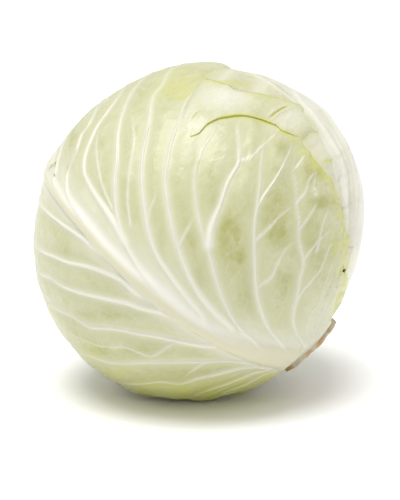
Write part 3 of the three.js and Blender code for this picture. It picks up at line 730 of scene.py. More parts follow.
def make_front_leaf(material):
    leaf_map = LeafMap(*FRONT_MAP_CENTRE)
    midrib, half_width = front_midrib(leaf_map)
    right_margin = Path(np.vstack([
        leaf_map.places([RIGHT_CORNER]),
        leaf_map.pixels(RIGHT_MARGIN),
        leaf_map.pixels(PLEAT_MARGIN),
        leaf_map.places(TOP_MARGIN),
    ]))
    lower_margin = waved_margin(Path(leaf_map.places(LOWER_MARGIN)), 1.3, 11)
    columns = np.interp(
        np.linspace(0, 1, FRONT_COLUMNS), [0, SEEN_COLUMNS, 1], [0, SEEN_SHARE, 1])
    right_base = Path(leaf_map.places(BASE_TO_RIGHT))
    lower_base = Path(leaf_map.places(BASE_TO_LOWER))

    def right_curves(rows):
        return vein_curves(midrib, right_margin, right_base, RIGHT_ENDS, columns, rows)

    fold = PleatFold(leaf_map, right_curves)
    right_half = right_curves(fold.places)
    left_half = vein_curves(
        midrib, lower_margin, lower_base, LOWER_ENDS, columns, np.linspace(0, 1, FRONT_ROWS))
    grid = np.concatenate([right_half[:, :0:-1], left_half], axis=1)
    shape = grid.shape[:2]
    points = grid.reshape(-1, 2)
    ways = leaf_map.to_ways(points)
    places = ways * EQUATOR_RADIUS
    pixels = pixel_of(ways * skin_radius(ways)[:, None])
    facing = facing_camera(ways)

    def seen(spots):
        return facing * patches(pixels, spots)

    # The midrib: a broad ridge with a crisp lower edge, and a soft upper side
    distance, share, side = midrib.nearest(points, 60)
    above_midrib = side * side_of(midrib, leaf_map, ABOVE_MIDRIB) > 0
    rib_width = half_width(share)
    across = distance / rib_width
    crisp = np.clip(1 - across**2.6, 0, 1) ** 0.7
    soft_side = np.where(above_midrib, smoothstep(share, 0.14, 0.36), 0)
    upper_softness = np.where(above_midrib, lerp(0.7, 1, soft_side), 0)
    profile = lerp(crisp, bell(across, 0.95), upper_softness)
    rib = 0.95 * rib_width**0.6 * profile
    rib += 0.5 * bell(np.maximum(distance - rib_width, 0), 7)
    off_midrib = smoothstep(across, 0.35, 1.0)

    # Side veins and their branches, and the net between them
    mains = side_veins(leaf_map, midrib, half_width, right_margin, lower_margin)
    branches = [Path(leaf_map.pixels(vein)) for vein in BRANCH_VEINS]
    main_height, main_ridge, main_halo, main_near = ribs(
        points, mains, widths=(0.42, 0.85), heights=(0.45, 1.2), halo_widths=(1.1, 2.8),
        reach=14, flare=1.2)
    branch_height, branch_ridge, branch_halo, _ = ribs(
        points, branches, widths=(0.36, 0.52), heights=(0.3, 0.5), halo_widths=(0.7, 1.3),
        reach=8)
    ridge = np.maximum(main_ridge, 0.75 * branch_ridge)
    halo = np.maximum(main_halo, 0.7 * branch_halo)
    panel = 1 - bell(np.minimum(main_near, np.maximum(distance - rib_width, 0)), 5.5)
    wander = np.stack([value_noise(places, 6, 13), value_noise(places, 6, 14)], axis=1)
    net = bell(cell_borders(points + 1.6 * wander, 8.5, 4), 0.55)
    net = np.maximum(net, 0.6 * bell(cell_borders(points + 0.8 * wander, 4.2, 5), 0.4)) * panel
    veins = np.maximum(main_height, branch_height) * off_midrib + 0.09 * net
    swell = 0.5 * panel + 0.4 * value_noise(places, 14, 3) * panel

    # The pleat, which folds over the blade below it
    pleat = fold.over_both_halves(fold.height)
    # Painted shade under the pleat's rim, darkest where the gap under it opens widest
    crease_shade = fold.over_both_halves(fold.shade) * (0.6 + 0.4 * patches(pixels, RIM_GAPS))

    # The patch at the top, which slips under the panel below it
    patch = Path(leaf_map.pixels(PATCH_EDGE))
    patch_distance, patch_share, patch_side = patch.nearest(points, 30)
    over = patch_distance * patch_side * side_of(patch, leaf_map, ON_TOP_PATCH)
    patch_height = 0.55 * smoothstep(patch_share, 0, 0.35)
    pleat -= patch_height * smoothstep(over, -0.4, 0.5) * bell(np.maximum(over, 0), 14)
    # A painted shadow line under the panel's edge, where the top patch slips beneath it
    crease_shade = np.maximum(crease_shade, 0.75 * smoothstep(patch_share, 0.02, 0.3) * bell(over - 0.2, 0.6))

    for olive_shade, line in CREASES:
        path = Path(leaf_map.pixels(line))
        fold_distance, fold_share, _ = path.nearest(points, 8)
        depth = smoothstep(fold_share, 0, 0.3) * (1 - smoothstep(fold_share, 0.7, 1))
        pleat += depth * (0.45 * bell(fold_distance - 1.5, 1.0) - 0.6 * bell(fold_distance, 0.7))
        # Painted olive shade along each fold
        crease_shade = np.maximum(crease_shade, olive_shade * depth * bell(fold_distance, 0.7))

    # Margins: thin, yellow green, waved and a little lifted
    outline = Path(np.vstack([right_margin.points, lower_margin.points[::-1]]), smooth=False)
    edge, _, _ = outline.nearest(points, 22)
    side_share = np.linspace(-1, 1, 2 * FRONT_ROWS - 1)
    side_share = np.broadcast_to(side_share, shape).reshape(-1)
    near_edge = bell(edge, 7)
    lower_side = smoothstep(side_share, 0.5, 0.8)
    wave = value_noise(places, 8, 7) * 0.9 + value_noise(places, 4, 8) * 0.45
    margin = near_edge * wave * lerp(0.6, 1.3, lower_side) - 0.45 * bell(edge, 3)
    pleat_zone = seen(PLEAT_PALE)
    right_zone = smoothstep(-side_share, 0.6, 0.95)
    crinkle = value_noise(places, 2.6, 5) * (0.05 + 0.2 * pleat_zone + 0.16 * near_edge)
    crinkle += value_noise(places, 5.5, 6) * (0.1 + 0.3 * pleat_zone + 0.2 * right_zone)
    crinkle += 0.2 * pleat_zone * bell(cell_borders(points + 1.2 * wander, 6, 9), 0.6)
    crinkle += 0.12 * value_noise(places, 1.5, 15) * bell(main_near - 2, 1.6) * right_zone
    puckered = seen(PUCKERED) * smoothstep(main_near, 0.5, 3)
    crinkle += 0.55 * puckered * (0.5 - np.abs(value_noise(places, 5, 23)))
    crinkle += 0.22 * puckered * (0.5 - np.abs(value_noise(places, 2.4, 24)))
    crinkle *= smoothstep(distance, rib_width, rib_width + 8)
    sunk = (RIGHT_LEAF_DEPTH + 0.8) * seen(SUNK_EDGES) * bell(edge, 7)

    radius = ball_radius(ways) + rib + veins + swell + pleat + margin + crinkle - sunk
    longitude = np.arctan2(ways @ LEFTWARD, ways @ FRONTWARD) / RAD
    cut_height = FRONT_BASE_CUT - FRONT_BASE_DIP * smoothstep(longitude, -5, 35)
    radius = trimmed(radius, ways, cut_height)

    # What the material asks for
    base = 1 - smoothstep(polar_of(ways), 20, 55)
    upper_side = smoothstep(-side_share, 0, 0.1)
    pale = 0.85 * bell(np.maximum(distance - rib_width, 0), lerp(6, 13, upper_side))
    pale = np.clip(np.maximum(pale, 0.8 * base) + 0.75 * pleat_zone, 0, 1)
    mottle = 0.95 + 0.2 * value_noise(places, 6, 18) + 0.15 * value_noise(places, 2.5, 19)
    spots = seen(GREEN_PATCHES) * (0.4 + 0.6 * panel) * mottle
    spots *= 1 - pleat_zone
    # Painted highlight along the midrib's upper edge, whitened through the rib and halo attributes
    painted_midrib_highlight = soft_side * bell(across - 1, 0.8) * (1 - smoothstep(share, 0.6, 0.75))
    spots += (1 - facing) * 0.5 * panel
    ragged = 0.5 + 0.5 * value_noise(places, 3.2, 17)
    lush = bell(edge, lerp(3.6, 6, lower_side)) * (0.4 + 0.6 * ragged)
    lush = np.maximum(lush, bell(edge, 9) * ragged * 0.4)
    lush *= 1 - seen(SUNK_EDGES + PLEAT_PALE)
    lush = np.maximum(lush, seen(LUSH_PATCHES) * (0.55 + 0.45 * ragged))
    lush = np.maximum(lush, 0.35 * seen(TOP_PATCH) * smoothstep(over, -0.5, 0.5))
    # Painted shade line under the pleat's edge
    crease_shade = np.maximum(crease_shade, 0.6 * seen(PLEAT_EDGE) * bell(edge, 0.7))
    # On the midrib's upper side the cream band stops short, leaving the painted highlight white
    beyond_midrib = lerp(smoothstep(across, 0.86, 1.04), smoothstep(across, 0, 0.75), soft_side)
    mesh = leaf_mesh("front_leaf_blade", ways, radius, shape, BLADE_THICKNESS, {
        "rib": np.maximum(ridge * off_midrib, painted_midrib_highlight),
        "lush": lush,
        "halo": np.maximum(lerp(0.8, 1, pleat_zone) * np.maximum(halo, pale), painted_midrib_highlight),
        "crease_shade": crease_shade,
        "panel": panel * (1 - 0.8 * pleat_zone),
        "spots": spots,
        "net": net,
        "midrib": 1 - beyond_midrib,
    })
    add_piece(mesh, material, "front_leaf")
    return leaf_map, outline


class PleatFold:
    """Row places, heights and shade of the front leaf's right half, folded in an S at the rim.

    The rows run up the blade under the rim, back along the fold, round its lip and on over the
    pleat. LAP is how far the lip laps over the blade below it and RISE how high it stands, in mm.
    """

    UNDER_ROWS = 84
    BACK_ROWS = 8
    LIP_ROWS = 9
    LAP = 0.5
    RISE = 0.9
    COARSE_STEPS = 80

    def __init__(self, leaf_map, curves):
        rim = Path(leaf_map.pixels(PLEAT_RIM))
        grid = curves(np.linspace(0, 1, self.COARSE_STEPS + 1))
        count = len(grid)
        distance, share, side = rim.nearest(grid.reshape(-1, 2), 30)
        above = (distance * side * side_of(rim, leaf_map, ON_PLEAT)).reshape(count, -1)
        distance, share = distance.reshape(count, -1), share.reshape(count, -1)
        near = (distance < 4).any(1)
        crosses = (above[:, :-1] < 0) & (above[:, 1:] >= 0) & (distance[:, 1:] < 6)
        found = np.flatnonzero(crosses.any(1) & near)
        step = crosses.argmax(1)
        row = np.arange(count)
        low, high = above[row, step], above[row, step + 1]
        cross = (step + np.clip(-low / np.maximum(high - low, 1e-6), 0, 1)) / self.COARSE_STEPS
        lip = np.interp(row, found, np.minimum(cross[found], 0.95))
        rim_share = np.interp(row, found, share[row, step][found])
        lip = running_mean(lip, 4)
        length = np.linalg.norm(np.diff(grid, axis=1), axis=2).sum(1)
        strength = smoothstep(rim_share, 0, 0.22) * lerp(1, 0.4, smoothstep(rim_share, 0.6, 0.85))
        strength = strength * (1 - smoothstep(rim_share, 0.85, 1))
        strength = strength * (row >= found[0]) * (row <= found[-1])
        strength = running_mean(strength, 8)
        self.build(lip[:, None], strength[:, None], length[:, None])

    def build(self, lip, strength, length):
        """The S is drawn in full where the fold is strong and straightens out at its ends."""
        rest_rows = FRONT_ROWS - self.UNDER_ROWS - self.BACK_ROWS - self.LIP_ROWS
        under = np.linspace(0, 1, self.UNDER_ROWS)[None] ** 0.8
        back = np.linspace(0, 1, self.BACK_ROWS + 2)[None, 1:-1]
        turn = np.linspace(-90, 90, self.LIP_ROWS)[None] * RAD
        rest = np.linspace(0, 1, rest_rows + 1)[None, 1:] ** 1.1
        lap, rise = self.LAP * strength / length, self.RISE * strength
        radius = 0.5 * rise / length
        past = lip + 0.35 * radius
        folded = np.concatenate([
            under * (lip + lap),
            lip + lap * (1 - back),
            lip - radius * np.cos(turn),
            past + (1 - past) * rest,
        ], axis=1)
        before, after = lip - 2.5 / length, lip + 1.0 / length
        straight = np.concatenate([
            under * before,
            lerp(before, lip, back),
            lerp(lip, after, (0.5 + 0.5 * turn / np.abs(turn).max())),
            after + (1 - after) * rest,
        ], axis=1)
        self.places = lerp(straight, folded, smoothstep(strength, 0.02, 0.25))
        gap = (under * (lip + lap) - lip) * length
        beyond = (past + (1 - past) * rest - lip) * length
        self.height = np.concatenate([
            -0.25 * rise * smoothstep(gap, -5, 0),
            rise * lerp(-0.2, 0, back),
            rise * (0.5 + 0.5 * np.sin(turn)),
            rise * bell(np.maximum(beyond - 4, 0), 17),
        ], axis=1)
        self.shade = smoothstep(strength, 0.05, 0.4) * np.concatenate([
            smoothstep(gap, -2.2, -0.4),
            np.ones_like(back * lip),
            1 - 0.6 * smoothstep(np.sin(turn) + 0 * lip, -0.2, 1),
            0.7 * bell(beyond, 0.9),
        ], axis=1)

    def over_both_halves(self, values):
        left = np.zeros((len(values), FRONT_ROWS))
        return np.concatenate([values[:, :0:-1], left], axis=1).reshape(-1)


def running_mean(values, reach):
    """The mean of the values up to reach steps away, with the ends held."""
    width = 2 * reach + 1
    return np.convolve(np.pad(values, reach, mode="edge"), np.ones(width) / width, "valid")


def waved_margin(path, height, length):
    """A margin with small waves along it, which shrink to nothing at its ends."""
    count = max(8, int(path.total / 1.5))
    shares = np.linspace(0, 1, count)
    points = path.at(shares)
    tangent = path.tangent(shares)
    normal = np.stack([tangent[:, 1], -tangent[:, 0]], axis=1)
    place = shares * path.total
    wave = np.sin(2 * math.pi * place / length + 1.5 * np.sin(place / (2.3 * length)))
    wave += 0.5 * np.sin(2 * math.pi * place / (0.43 * length) + 1)
    wave *= height * smoothstep(shares, 0, 0.06) * (1 - smoothstep(shares, 0.94, 1))
    return Path(points + normal * wave[:, None], smooth=False)


def side_veins(leaf_map, midrib, half_width, right_margin, lower_margin):
    """The side veins, run into the midrib, and those out of sight carried on to the margin."""
    veins = []
    for index, pixels in enumerate(SIDE_VEINS):
        points = leaf_map.pixels(pixels)
        gap, share, _ = midrib.nearest(points[-1:], 60)
        width = half_width(share)
        if gap[0] < 1.3 * width[0] + 2:
            into = midrib.at(np.maximum(share - 2.2 * width / midrib.total, 0))
            points = np.vstack([points, into])
        for ends, margin in [
            (SEEN_VEIN_ENDS, right_margin), (SEEN_LOWER_VEIN_ENDS, lower_margin),
        ]:
            if index in ends:
                end = margin.at(ends[index])
                reach = np.linalg.norm(end - points[0])
                onward = points[0] + unit(points[0] - points[1]) * reach * 0.4
                points = np.vstack([end, (end + onward) / 2, points])
        veins.append(Path(points))
    for start, right_end, lower_end in HIDDEN_VEINS:
        for margin, end in [(right_margin, right_end), (lower_margin, lower_end)]:
            veins.append(bowed_vein(midrib, start, margin, end, 0.88))
    return veins


def bowed_vein(midrib, start, margin, end, along):
    """A side vein from its thin end, which leaves the midrib at a slant and bows outwards."""
    first, last = midrib.at(start), margin.at(end)
    tangent = midrib.tangent(start)
    reach = last - first
    forward = tangent * (reach @ tangent)
    control = first + along * forward + (1 - along) * (reach - forward)
    t = np.linspace(1, 0, 14)[:, None]
    return Path((1 - t) ** 2 * first + 2 * t * (1 - t) * control + t**2 * last)


def side_of(path, leaf_map, pixel):
    """Which side of the path a pixel lies on, as 1 or -1."""
    _, _, side = path.nearest(leaf_map.pixels([pixel]), 200)
    return side[0]


# The other leaves

# Their ovals reach this far from the middle to the base and to the tip, and their bases run
# round the stem at a polar angle, by a turn to each side
OVAL_TO_BASE = 129.0
OVAL_TO_TIP = 120.0
OVAL_POLAR = 95
OVAL_MIDRIB_POLARS = (15, 45, 80, 115, 150, 172)
OVAL_ARC = (-74, 84)
OVAL_BASE_POLAR = 12.4
OVAL_BASE_TURN = 90
OVAL_VEINS = 11
BASE_EXTRA_THICKNESS = 1.6


def oval_leaf(name, longitude, half_widths, depth, covers, columns, rows, relief, seed):
    """A leaf whose own margins the photograph doesn't show: an oval with a waved edge.

    It lies depth mm under the ball, and its relief shows in full beside the leaves that cover it.
    """
    leaf_map = LeafMap(longitude, OVAL_POLAR)
    midrib = Path(leaf_map.places([
        (longitude + 3 * math.sin(index), polar) for index, polar in enumerate(OVAL_MIDRIB_POLARS)
    ]))
    margins = []
    for sign, half_width in zip((-1, 1), half_widths):
        turn = np.linspace(*OVAL_ARC, 40) * RAD
        across = np.cos(turn)
        across[turn < 0] **= 0.75
        oval = np.stack([
            sign * half_width * across,
            np.where(turn < 0, OVAL_TO_BASE, OVAL_TO_TIP) * np.sin(turn),
        ], axis=1)
        corner = leaf_map.places([(longitude + sign * OVAL_BASE_TURN, OVAL_BASE_POLAR + 1)])
        margins.append(waved_margin(Path(np.vstack([corner, oval])), 1.4, 14))
    bases = [
        Path(leaf_map.places([
            (longitude + sign * turn, OVAL_BASE_POLAR) for turn in np.linspace(0, OVAL_BASE_TURN, 5)
        ]))
        for sign in (-1, 1)
    ]
    ends = np.array(VEIN_STARTS) ** 0.75
    halves = [
        vein_curves(midrib, margin, base, ends, np.linspace(0, 1, columns), np.linspace(0, 1, rows))
        for margin, base in zip(margins, bases)
    ]
    grid = np.concatenate([halves[0][:, :0:-1], halves[1]], axis=1)
    shape = grid.shape[:2]
    points = grid.reshape(-1, 2)
    ways = leaf_map.to_ways(points)
    places = ways * EQUATOR_RADIUS

    shown = np.full(len(points), 1.0 if covers else 0.3)
    beside = np.full(len(points), 60.0)
    for cover_map, outline in covers:
        on_cover = cover_map.to_map(ways)
        gap, _, _ = outline.nearest(on_cover, 40)
        hidden = inside(on_cover, outline.points)
        gap = np.where(hidden, -gap, gap)
        shown *= smoothstep(gap, -1, 5)
        beside = np.minimum(beside, gap)

    distance, share, _ = midrib.nearest(points, 60)
    rib_width = lerp(9, 1.2, share**0.6)
    across = distance / rib_width
    rib = (0.8 + 0.3 * rib_width) * np.clip(1 - across**2.4, 0, 1) ** 0.75
    veins = []
    for margin in margins:
        for end in np.linspace(0.05, 0.85, OVAL_VEINS):
            veins.append(bowed_vein(midrib, 0.8 * end**1.3, margin, end, 0.86))
    vein_height, ridge, halo, near = ribs(
        points, veins, widths=(0.7, 1.3), heights=(0.45, 1.0), halo_widths=(2.0, 4.2), reach=14)
    panel = 1 - bell(near, 5.5)
    net = bell(cell_borders(points, 8.5, seed + 3), 0.6) * panel
    outline = Path(np.vstack([margins[0].points, margins[1].points[::-1]]), smooth=False)
    edge, _, _ = outline.nearest(points, 22)
    lift = relief * (
        rib + vein_height * smoothstep(across, 0.7, 1.15)
        + 0.5 * panel + 0.3 * value_noise(places, 15, seed) * panel + 0.1 * net
        + 0.9 * bell(edge, 7) * value_noise(places, 8, seed + 1)
        + 0.12 * value_noise(places, 4, seed + 2)
    )
    crease_shade = np.zeros(len(points))
    crinkled = np.zeros(len(points))
    if name == "right_leaf_blade":
        lift, ridge, crease_shade, crinkled = right_leaf_folds(
            leaf_map, points, ways, lift, ridge, beside)
    rise = depth * smoothstep(beside, 4, 26) if covers else 0
    radius = trimmed(ball_radius(ways) - depth + rise + lift * shown, ways, OVAL_BASE_CUT)
    base = 1 - smoothstep(polar_of(ways), 17, 40)
    thickness = (BLADE_THICKNESS + BASE_EXTRA_THICKNESS * base).reshape(shape)

    pixels = pixel_of(ways * skin_radius(ways)[:, None])
    right_strip = smoothstep(-(ways @ VIEWWARD), -0.6, 0.1)
    right_strip *= smoothstep(pixels[:, 0], *PALE_STRIP_X)
    whole_pale = lerp(0.3, 0.9, right_strip) if name == "right_leaf_blade" else 0.2
    pale = np.clip(np.maximum(whole_pale - 0.35 * crinkled, 0.8 * base), 0, 1)
    lush_seen = facing_camera(ways) * patches(pixels, BOTTOM_LUSH)
    mesh = leaf_mesh(name, ways, radius, shape, thickness, {
        "rib": ridge,
        "halo": np.maximum(0.8 * halo, pale),
        "lush": np.maximum(0.7 * bell(edge, 6), lush_seen),
        "crease_shade": crease_shade,
        "panel": panel,
        "spots": 0.5 * panel,
        "net": net,
        "midrib": 1 - smoothstep(across, 0.86, 1.04),
    })
    return mesh, (leaf_map, outline)


def right_leaf_folds(leaf_map, points, ways, lift, ridge, beside):
    """The long ribs of the right leaf beside the front one, its crinkled strip and painted crease
    shade.
    """
    places = ways * EQUATOR_RADIUS
    facing = facing_camera(ways)
    # Painted shadow of the front leaf's edge on this leaf
    crease_shade = 0.15 * bell(np.maximum(beside, 0), 0.7) * (beside < 6)
    shape = 0.25 * value_noise(places, 12, 20)
    long_ridge = np.zeros(len(points))
    for pixels in RIGHT_LEAF_RIBS:
        distance, share, _ = Path(leaf_map.pixels(pixels)).nearest(points, 10)
        strength = smoothstep(share, 0, 0.25) * (1 - smoothstep(share, 0.75, 1))
        shape = shape + 1.5 * strength * bell(distance, 1.9)
        long_ridge = np.maximum(long_ridge, strength * bell(distance, 1.6))
    for pixels in RIGHT_LEAF_GROOVES:
        distance, share, _ = Path(leaf_map.pixels(pixels)).nearest(points, 10)
        strength = smoothstep(share, 0, 0.1) * (1 - smoothstep(share, 0.9, 1))
        shape = shape - 1.0 * strength * bell(distance, 1.2)
    for pixels, depth, width in [(RIGHT_LEAF_FOLD, 0.5, 0.85), (RIGHT_LEAF_TEAR, 0.4, 0.7)]:
        distance, share, _ = Path(leaf_map.pixels(pixels)).nearest(points, 10)
        strength = smoothstep(share, -0.05, 0.1) * (1 - smoothstep(share, 0.8, 1))
        shape = shape - depth * strength * bell(distance, width)
        # Painted shade along the fold and the tear
        crease_shade = np.maximum(crease_shade, 0.75 * strength * bell(distance, width * 1.1))
    edge = Path(leaf_map.pixels(RIGHT_LEAF_CRINKLE_EDGE))
    distance, _, side = edge.nearest(points, 24)
    toward_front = distance * side * side_of(edge, leaf_map, ON_CRINKLED_STRIP)
    crinkled = smoothstep(toward_front, -0.6, 0.8) * smoothstep(24 - distance, 0, 6)
    shape = shape * (1 - 0.7 * crinkled) + crinkled * (
        0.4 + 0.25 * value_noise(places, 2.6, 21) + 0.3 * value_noise(places, 5.5, 22)
    )
    blend = smoothstep(-(ways @ VIEWWARD), -0.45, 0)
    return lerp(lift, shape, blend), lerp(ridge, long_ridge, blend), crease_shade, facing * crinkled


# The stem

# Points round the stem, rings from the middle of the cut to the root end, and the share of the
# rings that lies on the cut face
STEM_SIDES = 128
STEM_RINGS = 46
CUT_SHARE = 0.45


def make_stem(material):
    """The cut stub: a lobed, fibrous disc with a rough rim."""
    sides, rings = STEM_SIDES, STEM_RINGS
    turn = np.arange(sides) * 2 * math.pi / sides
    profile = []
    for share in np.linspace(0.02, 1, rings):
        if share < CUT_SHARE:
            profile.append((share / CUT_SHARE, 0.0))
        else:
            profile.append((1.0, -(share - CUT_SHARE) / (1 - CUT_SHARE) * STEM_SEEN))
    rows = []
    for reach, height in profile:
        lobes = 1 - 0.03 * (0.5 + 0.5 * np.sin(3 * turn + 0.6)) * min(1, reach * 1.5)
        rough = 0.015 * np.sin(11 * turn + 5 * reach) + 0.01 * np.sin(23 * turn)
        radius = STEM_RADIUS * reach * (lobes + rough * reach)
        if height < 0:
            radius = radius * (1 - 0.25 * (height / STEM_SEEN) ** 2)
        local = heading(turn / RAD, np.full(sides, 90.0)) * radius[:, None]
        grain = value_noise(local, 2.2, 31) * 0.35 + value_noise(local, 6, 32) * 0.5
        dish = -0.9 * (1 - reach**2) + 0.5 * bell(reach - 0.72, 0.1) - 0.5 * bell(reach - 1, 0.06)
        top = STEM_CUT + height + np.where(height == 0, grain + dish, -0.5)
        rows.append(CENTRE + top[:, None] * STEMWARD + local)
    ends = [CENTRE + (STEM_CUT - 0.9) * STEMWARD, CENTRE + (STEM_CUT - STEM_SEEN - 0.5) * STEMWARD]
    points = np.vstack([np.array(rows).reshape(-1, 3), ends])
    brown = patches(pixel_of(points - CENTRE), STEM_BROWN)
    ids = np.arange(rings * sides).reshape(rings, sides)
    after = np.roll(ids, -1, axis=1)
    faces = np.stack([ids[:-1], ids[1:], after[1:], after[:-1]], -1).reshape(-1, 4).tolist()
    cut_middle, root_middle = rings * sides, rings * sides + 1
    for near, far in zip(ids[0], after[0]):
        faces.append([near, far, cut_middle])
    for near, far in zip(ids[-1], after[-1]):
        faces.append([far, near, root_middle])
    mesh = smooth_mesh("stem_stub", points * MM, faces)
    paint(mesh, "brown", brown)
    add_piece(mesh, material, "stem")


# Materials, with lengths in metres and colours as linear red, green and blue

BUMP_DEPTH = 0.0009
LIGHT = (0.468, 0.47, 0.275)
GREEN = (0.315, 0.32, 0.08)
WHITE = (0.69, 0.675, 0.615)
LUSH = (0.48, 0.485, 0.035)
MIDRIB = (0.56, 0.535, 0.38)
# Olive painted shade for creases, under the pleat's rim and beside edges lying over other leaves
CREASE_SHADE = (0.50, 0.50, 0.025)
INNER_LIGHT = (0.64, 0.64, 0.46)
INNER_GREEN = (0.56, 0.58, 0.34)
INNER_LUSH = (0.52, 0.54, 0.24)
STEM_DARK = (0.50, 0.45, 0.36)
STEM_PALE = (0.72, 0.68, 0.58)
BROWN_DARK = (0.40, 0.20, 0.04)
BROWN_PALE = (0.60, 0.38, 0.12)
FLOOR_GREY = (0.96, 0.96, 0.96, 1)


class Shader:
    """Small helpers for one node material."""

    def __init__(self, name):
        self.material = bpy.data.materials.new(name)
        self.material.use_nodes = True
        self.tree = self.material.node_tree
        self.bsdf = self.tree.nodes["Principled BSDF"]

    def put(self, value, socket):
        """Links another node's output to a socket, or sets the socket to a constant."""
        if isinstance(value, bpy.types.NodeSocket):
            self.tree.links.new(value, socket)
        else:
            socket.default_value = value

    def node(self, kind, **inputs):
        """A node with its inputs given by name, or by place as i0, i1 and so on."""
        made = self.tree.nodes.new(kind)
        for key, value in inputs.items():
            by_place = key[0] == "i" and key[1:].isdigit()
            self.put(value, made.inputs[int(key[1:])] if by_place else made.inputs[key])
        return made

    def attribute(self, name):
        made = self.tree.nodes.new("ShaderNodeAttribute")
        made.attribute_name = name
        return made.outputs["Fac"]

    def math(self, operation, first, second=0.0, clamp=False):
        made = self.node("ShaderNodeMath", i0=first, i1=second)
        made.operation = operation
        made.use_clamp = clamp
        return made.outputs[0]

    def mix(self, share, first, second):
        """A mix of two colours, which sit at inputs 6 and 7 of the node."""
        made = self.tree.nodes.new("ShaderNodeMix")
        made.data_type = "RGBA"
        self.put(share, made.inputs[0])
        for place, colour in ((6, first), (7, second)):
            self.put((*colour, 1) if isinstance(colour, tuple) else colour, made.inputs[place])
        return made.outputs[2]

    def noise(self, scale, detail=3.0, roughness=0.5, vector=None, distortion=0.0):
        made = self.node("ShaderNodeTexNoise", Scale=scale, Detail=detail, Roughness=roughness,
                         Distortion=distortion)
        if vector is not None:
            self.tree.links.new(vector, made.inputs["Vector"])
        return made.outputs["Fac"]

    def bend(self, vector, scale, reach):
        """A small offset that makes straight lines wander."""
        noise = self.node("ShaderNodeTexNoise", Vector=vector, Scale=scale, Detail=2.0)
        middle = self.node("ShaderNodeVectorMath", i0=noise.outputs["Color"])
        middle.operation = "SUBTRACT"
        middle.inputs[1].default_value = (0.5, 0.5, 0.5)
        made = self.node("ShaderNodeVectorMath", i0=middle.outputs[0], i1=(reach, reach, reach))
        made.operation = "MULTIPLY"
        return made.outputs[0]

    def net(self, vector, scale, width):
        """Thin lines along the borders of irregular cells."""
        cells = self.node("ShaderNodeTexVoronoi", Vector=vector, Scale=scale)
        cells.feature = "DISTANCE_TO_EDGE"
        lines = self.node("ShaderNodeMapRange", Value=cells.outputs["Distance"], **{
            "From Min": 0.0, "From Max": width, "To Min": 1.0, "To Max": 0.0})
        return lines.outputs[0]

    def spread(self, value, low, high):
        made = self.node("ShaderNodeMapRange", Value=value, **{"From Min": low, "From Max": high})
        made.interpolation_type = "SMOOTHSTEP"
        return made.outputs[0]

    def surface(self, values):
        """Sets or links inputs of the surface shader by their names."""
        for name, value in values.items():
            self.put(value, self.bsdf.inputs[name])

    def bump(self, height, strength):
        made = self.node("ShaderNodeBump", Height=height, Strength=strength, Distance=BUMP_DEPTH)
        self.surface({"Normal": made.outputs[0]})


def leaf_material(name, light, green, white, lush_colour):
    shader = Shader(name)
    place = shader.node("ShaderNodeTexCoord").outputs["Object"]
    rib, halo, lush, crease_shade = (shader.attribute(key) for key in ("rib", "halo", "lush", "crease_shade"))
    panel, spots, net = (shader.attribute(key) for key in ("panel", "spots", "net"))
    midrib = shader.attribute("midrib")
    fine = shader.noise(230, 5, 0.6, place)
    cloudy = shader.noise(60, 3, 0.5, place)
    blotchy = shader.spread(shader.noise(34, 4, 0.6, place, 0.6), 0.38, 0.68)

    # Greener between the veins, in soft blotches
    amount = shader.math("MULTIPLY", blotchy, shader.math("MULTIPLY", panel, 0.5))
    amount = shader.math("ADD", amount, spots, clamp=True)
    mottled = shader.math("MULTIPLY", amount, shader.spread(cloudy, -0.2, 0.6))
    colour = shader.mix(mottled, light, green)
    # The halo also carries the front leaf's painted midrib highlight
    colour = shader.mix(shader.math("MULTIPLY", halo, 0.75), colour, white)
    colour = shader.mix(shader.math("MULTIPLY", net, 0.15), colour, white)
    bent = shader.node("ShaderNodeVectorMath", i0=place, i1=shader.bend(place, 70, 0.009))
    threads = shader.net(bent.outputs[0], 120, 0.045)
    threads = shader.math("MULTIPLY", threads, shader.spread(panel, 0.3, 1))
    colour = shader.mix(shader.math("MULTIPLY", threads, 0.09), colour, white)
    colour = shader.mix(shader.math("MULTIPLY", lush, 0.95), colour, lush_colour)
    # White on the veins, and the front leaf's painted midrib highlight
    colour = shader.mix(shader.math("MULTIPLY", rib, 0.65), colour, white)
    colour = shader.mix(shader.math("MULTIPLY", midrib, 0.9), colour, MIDRIB)
    grain = shader.math("MULTIPLY", fine, 0.14)
    colour = shader.mix(grain, colour, shade(white, 1.06))
    # Painted olive shade in creases and under folds and overlapping edges
    colour = shader.mix(crease_shade, colour, CREASE_SHADE)

    rough = shader.node("ShaderNodeMath", i0=fine, i1=0.2, i2=0.24)
    rough.operation = "MULTIPLY_ADD"
    shader.surface({
        "Base Color": colour,
        "Roughness": rough.outputs[0],
        "Specular IOR Level": 0.35,
        "Subsurface Weight": 0.03,
        "Subsurface Radius": (1.0, 1.0, 0.45),
        "Subsurface Scale": 0.002,
    })

    creased = shader.noise(150, 4, 0.55, place, 1.4)
    height = shader.math("MULTIPLY", fine, 0.3)
    height = shader.math("ADD", height, shader.math("MULTIPLY", cloudy, 0.8))
    height = shader.math("ADD", height, shader.math("MULTIPLY", creased, shader.spread(panel, 0.2, 1)))
    height = shader.math("ADD", height, shader.math("MULTIPLY", threads, 0.12))
    shader.bump(height, 0.5)
    return shader.material


def shade(colour, factor):
    return tuple(factor * value for value in colour)


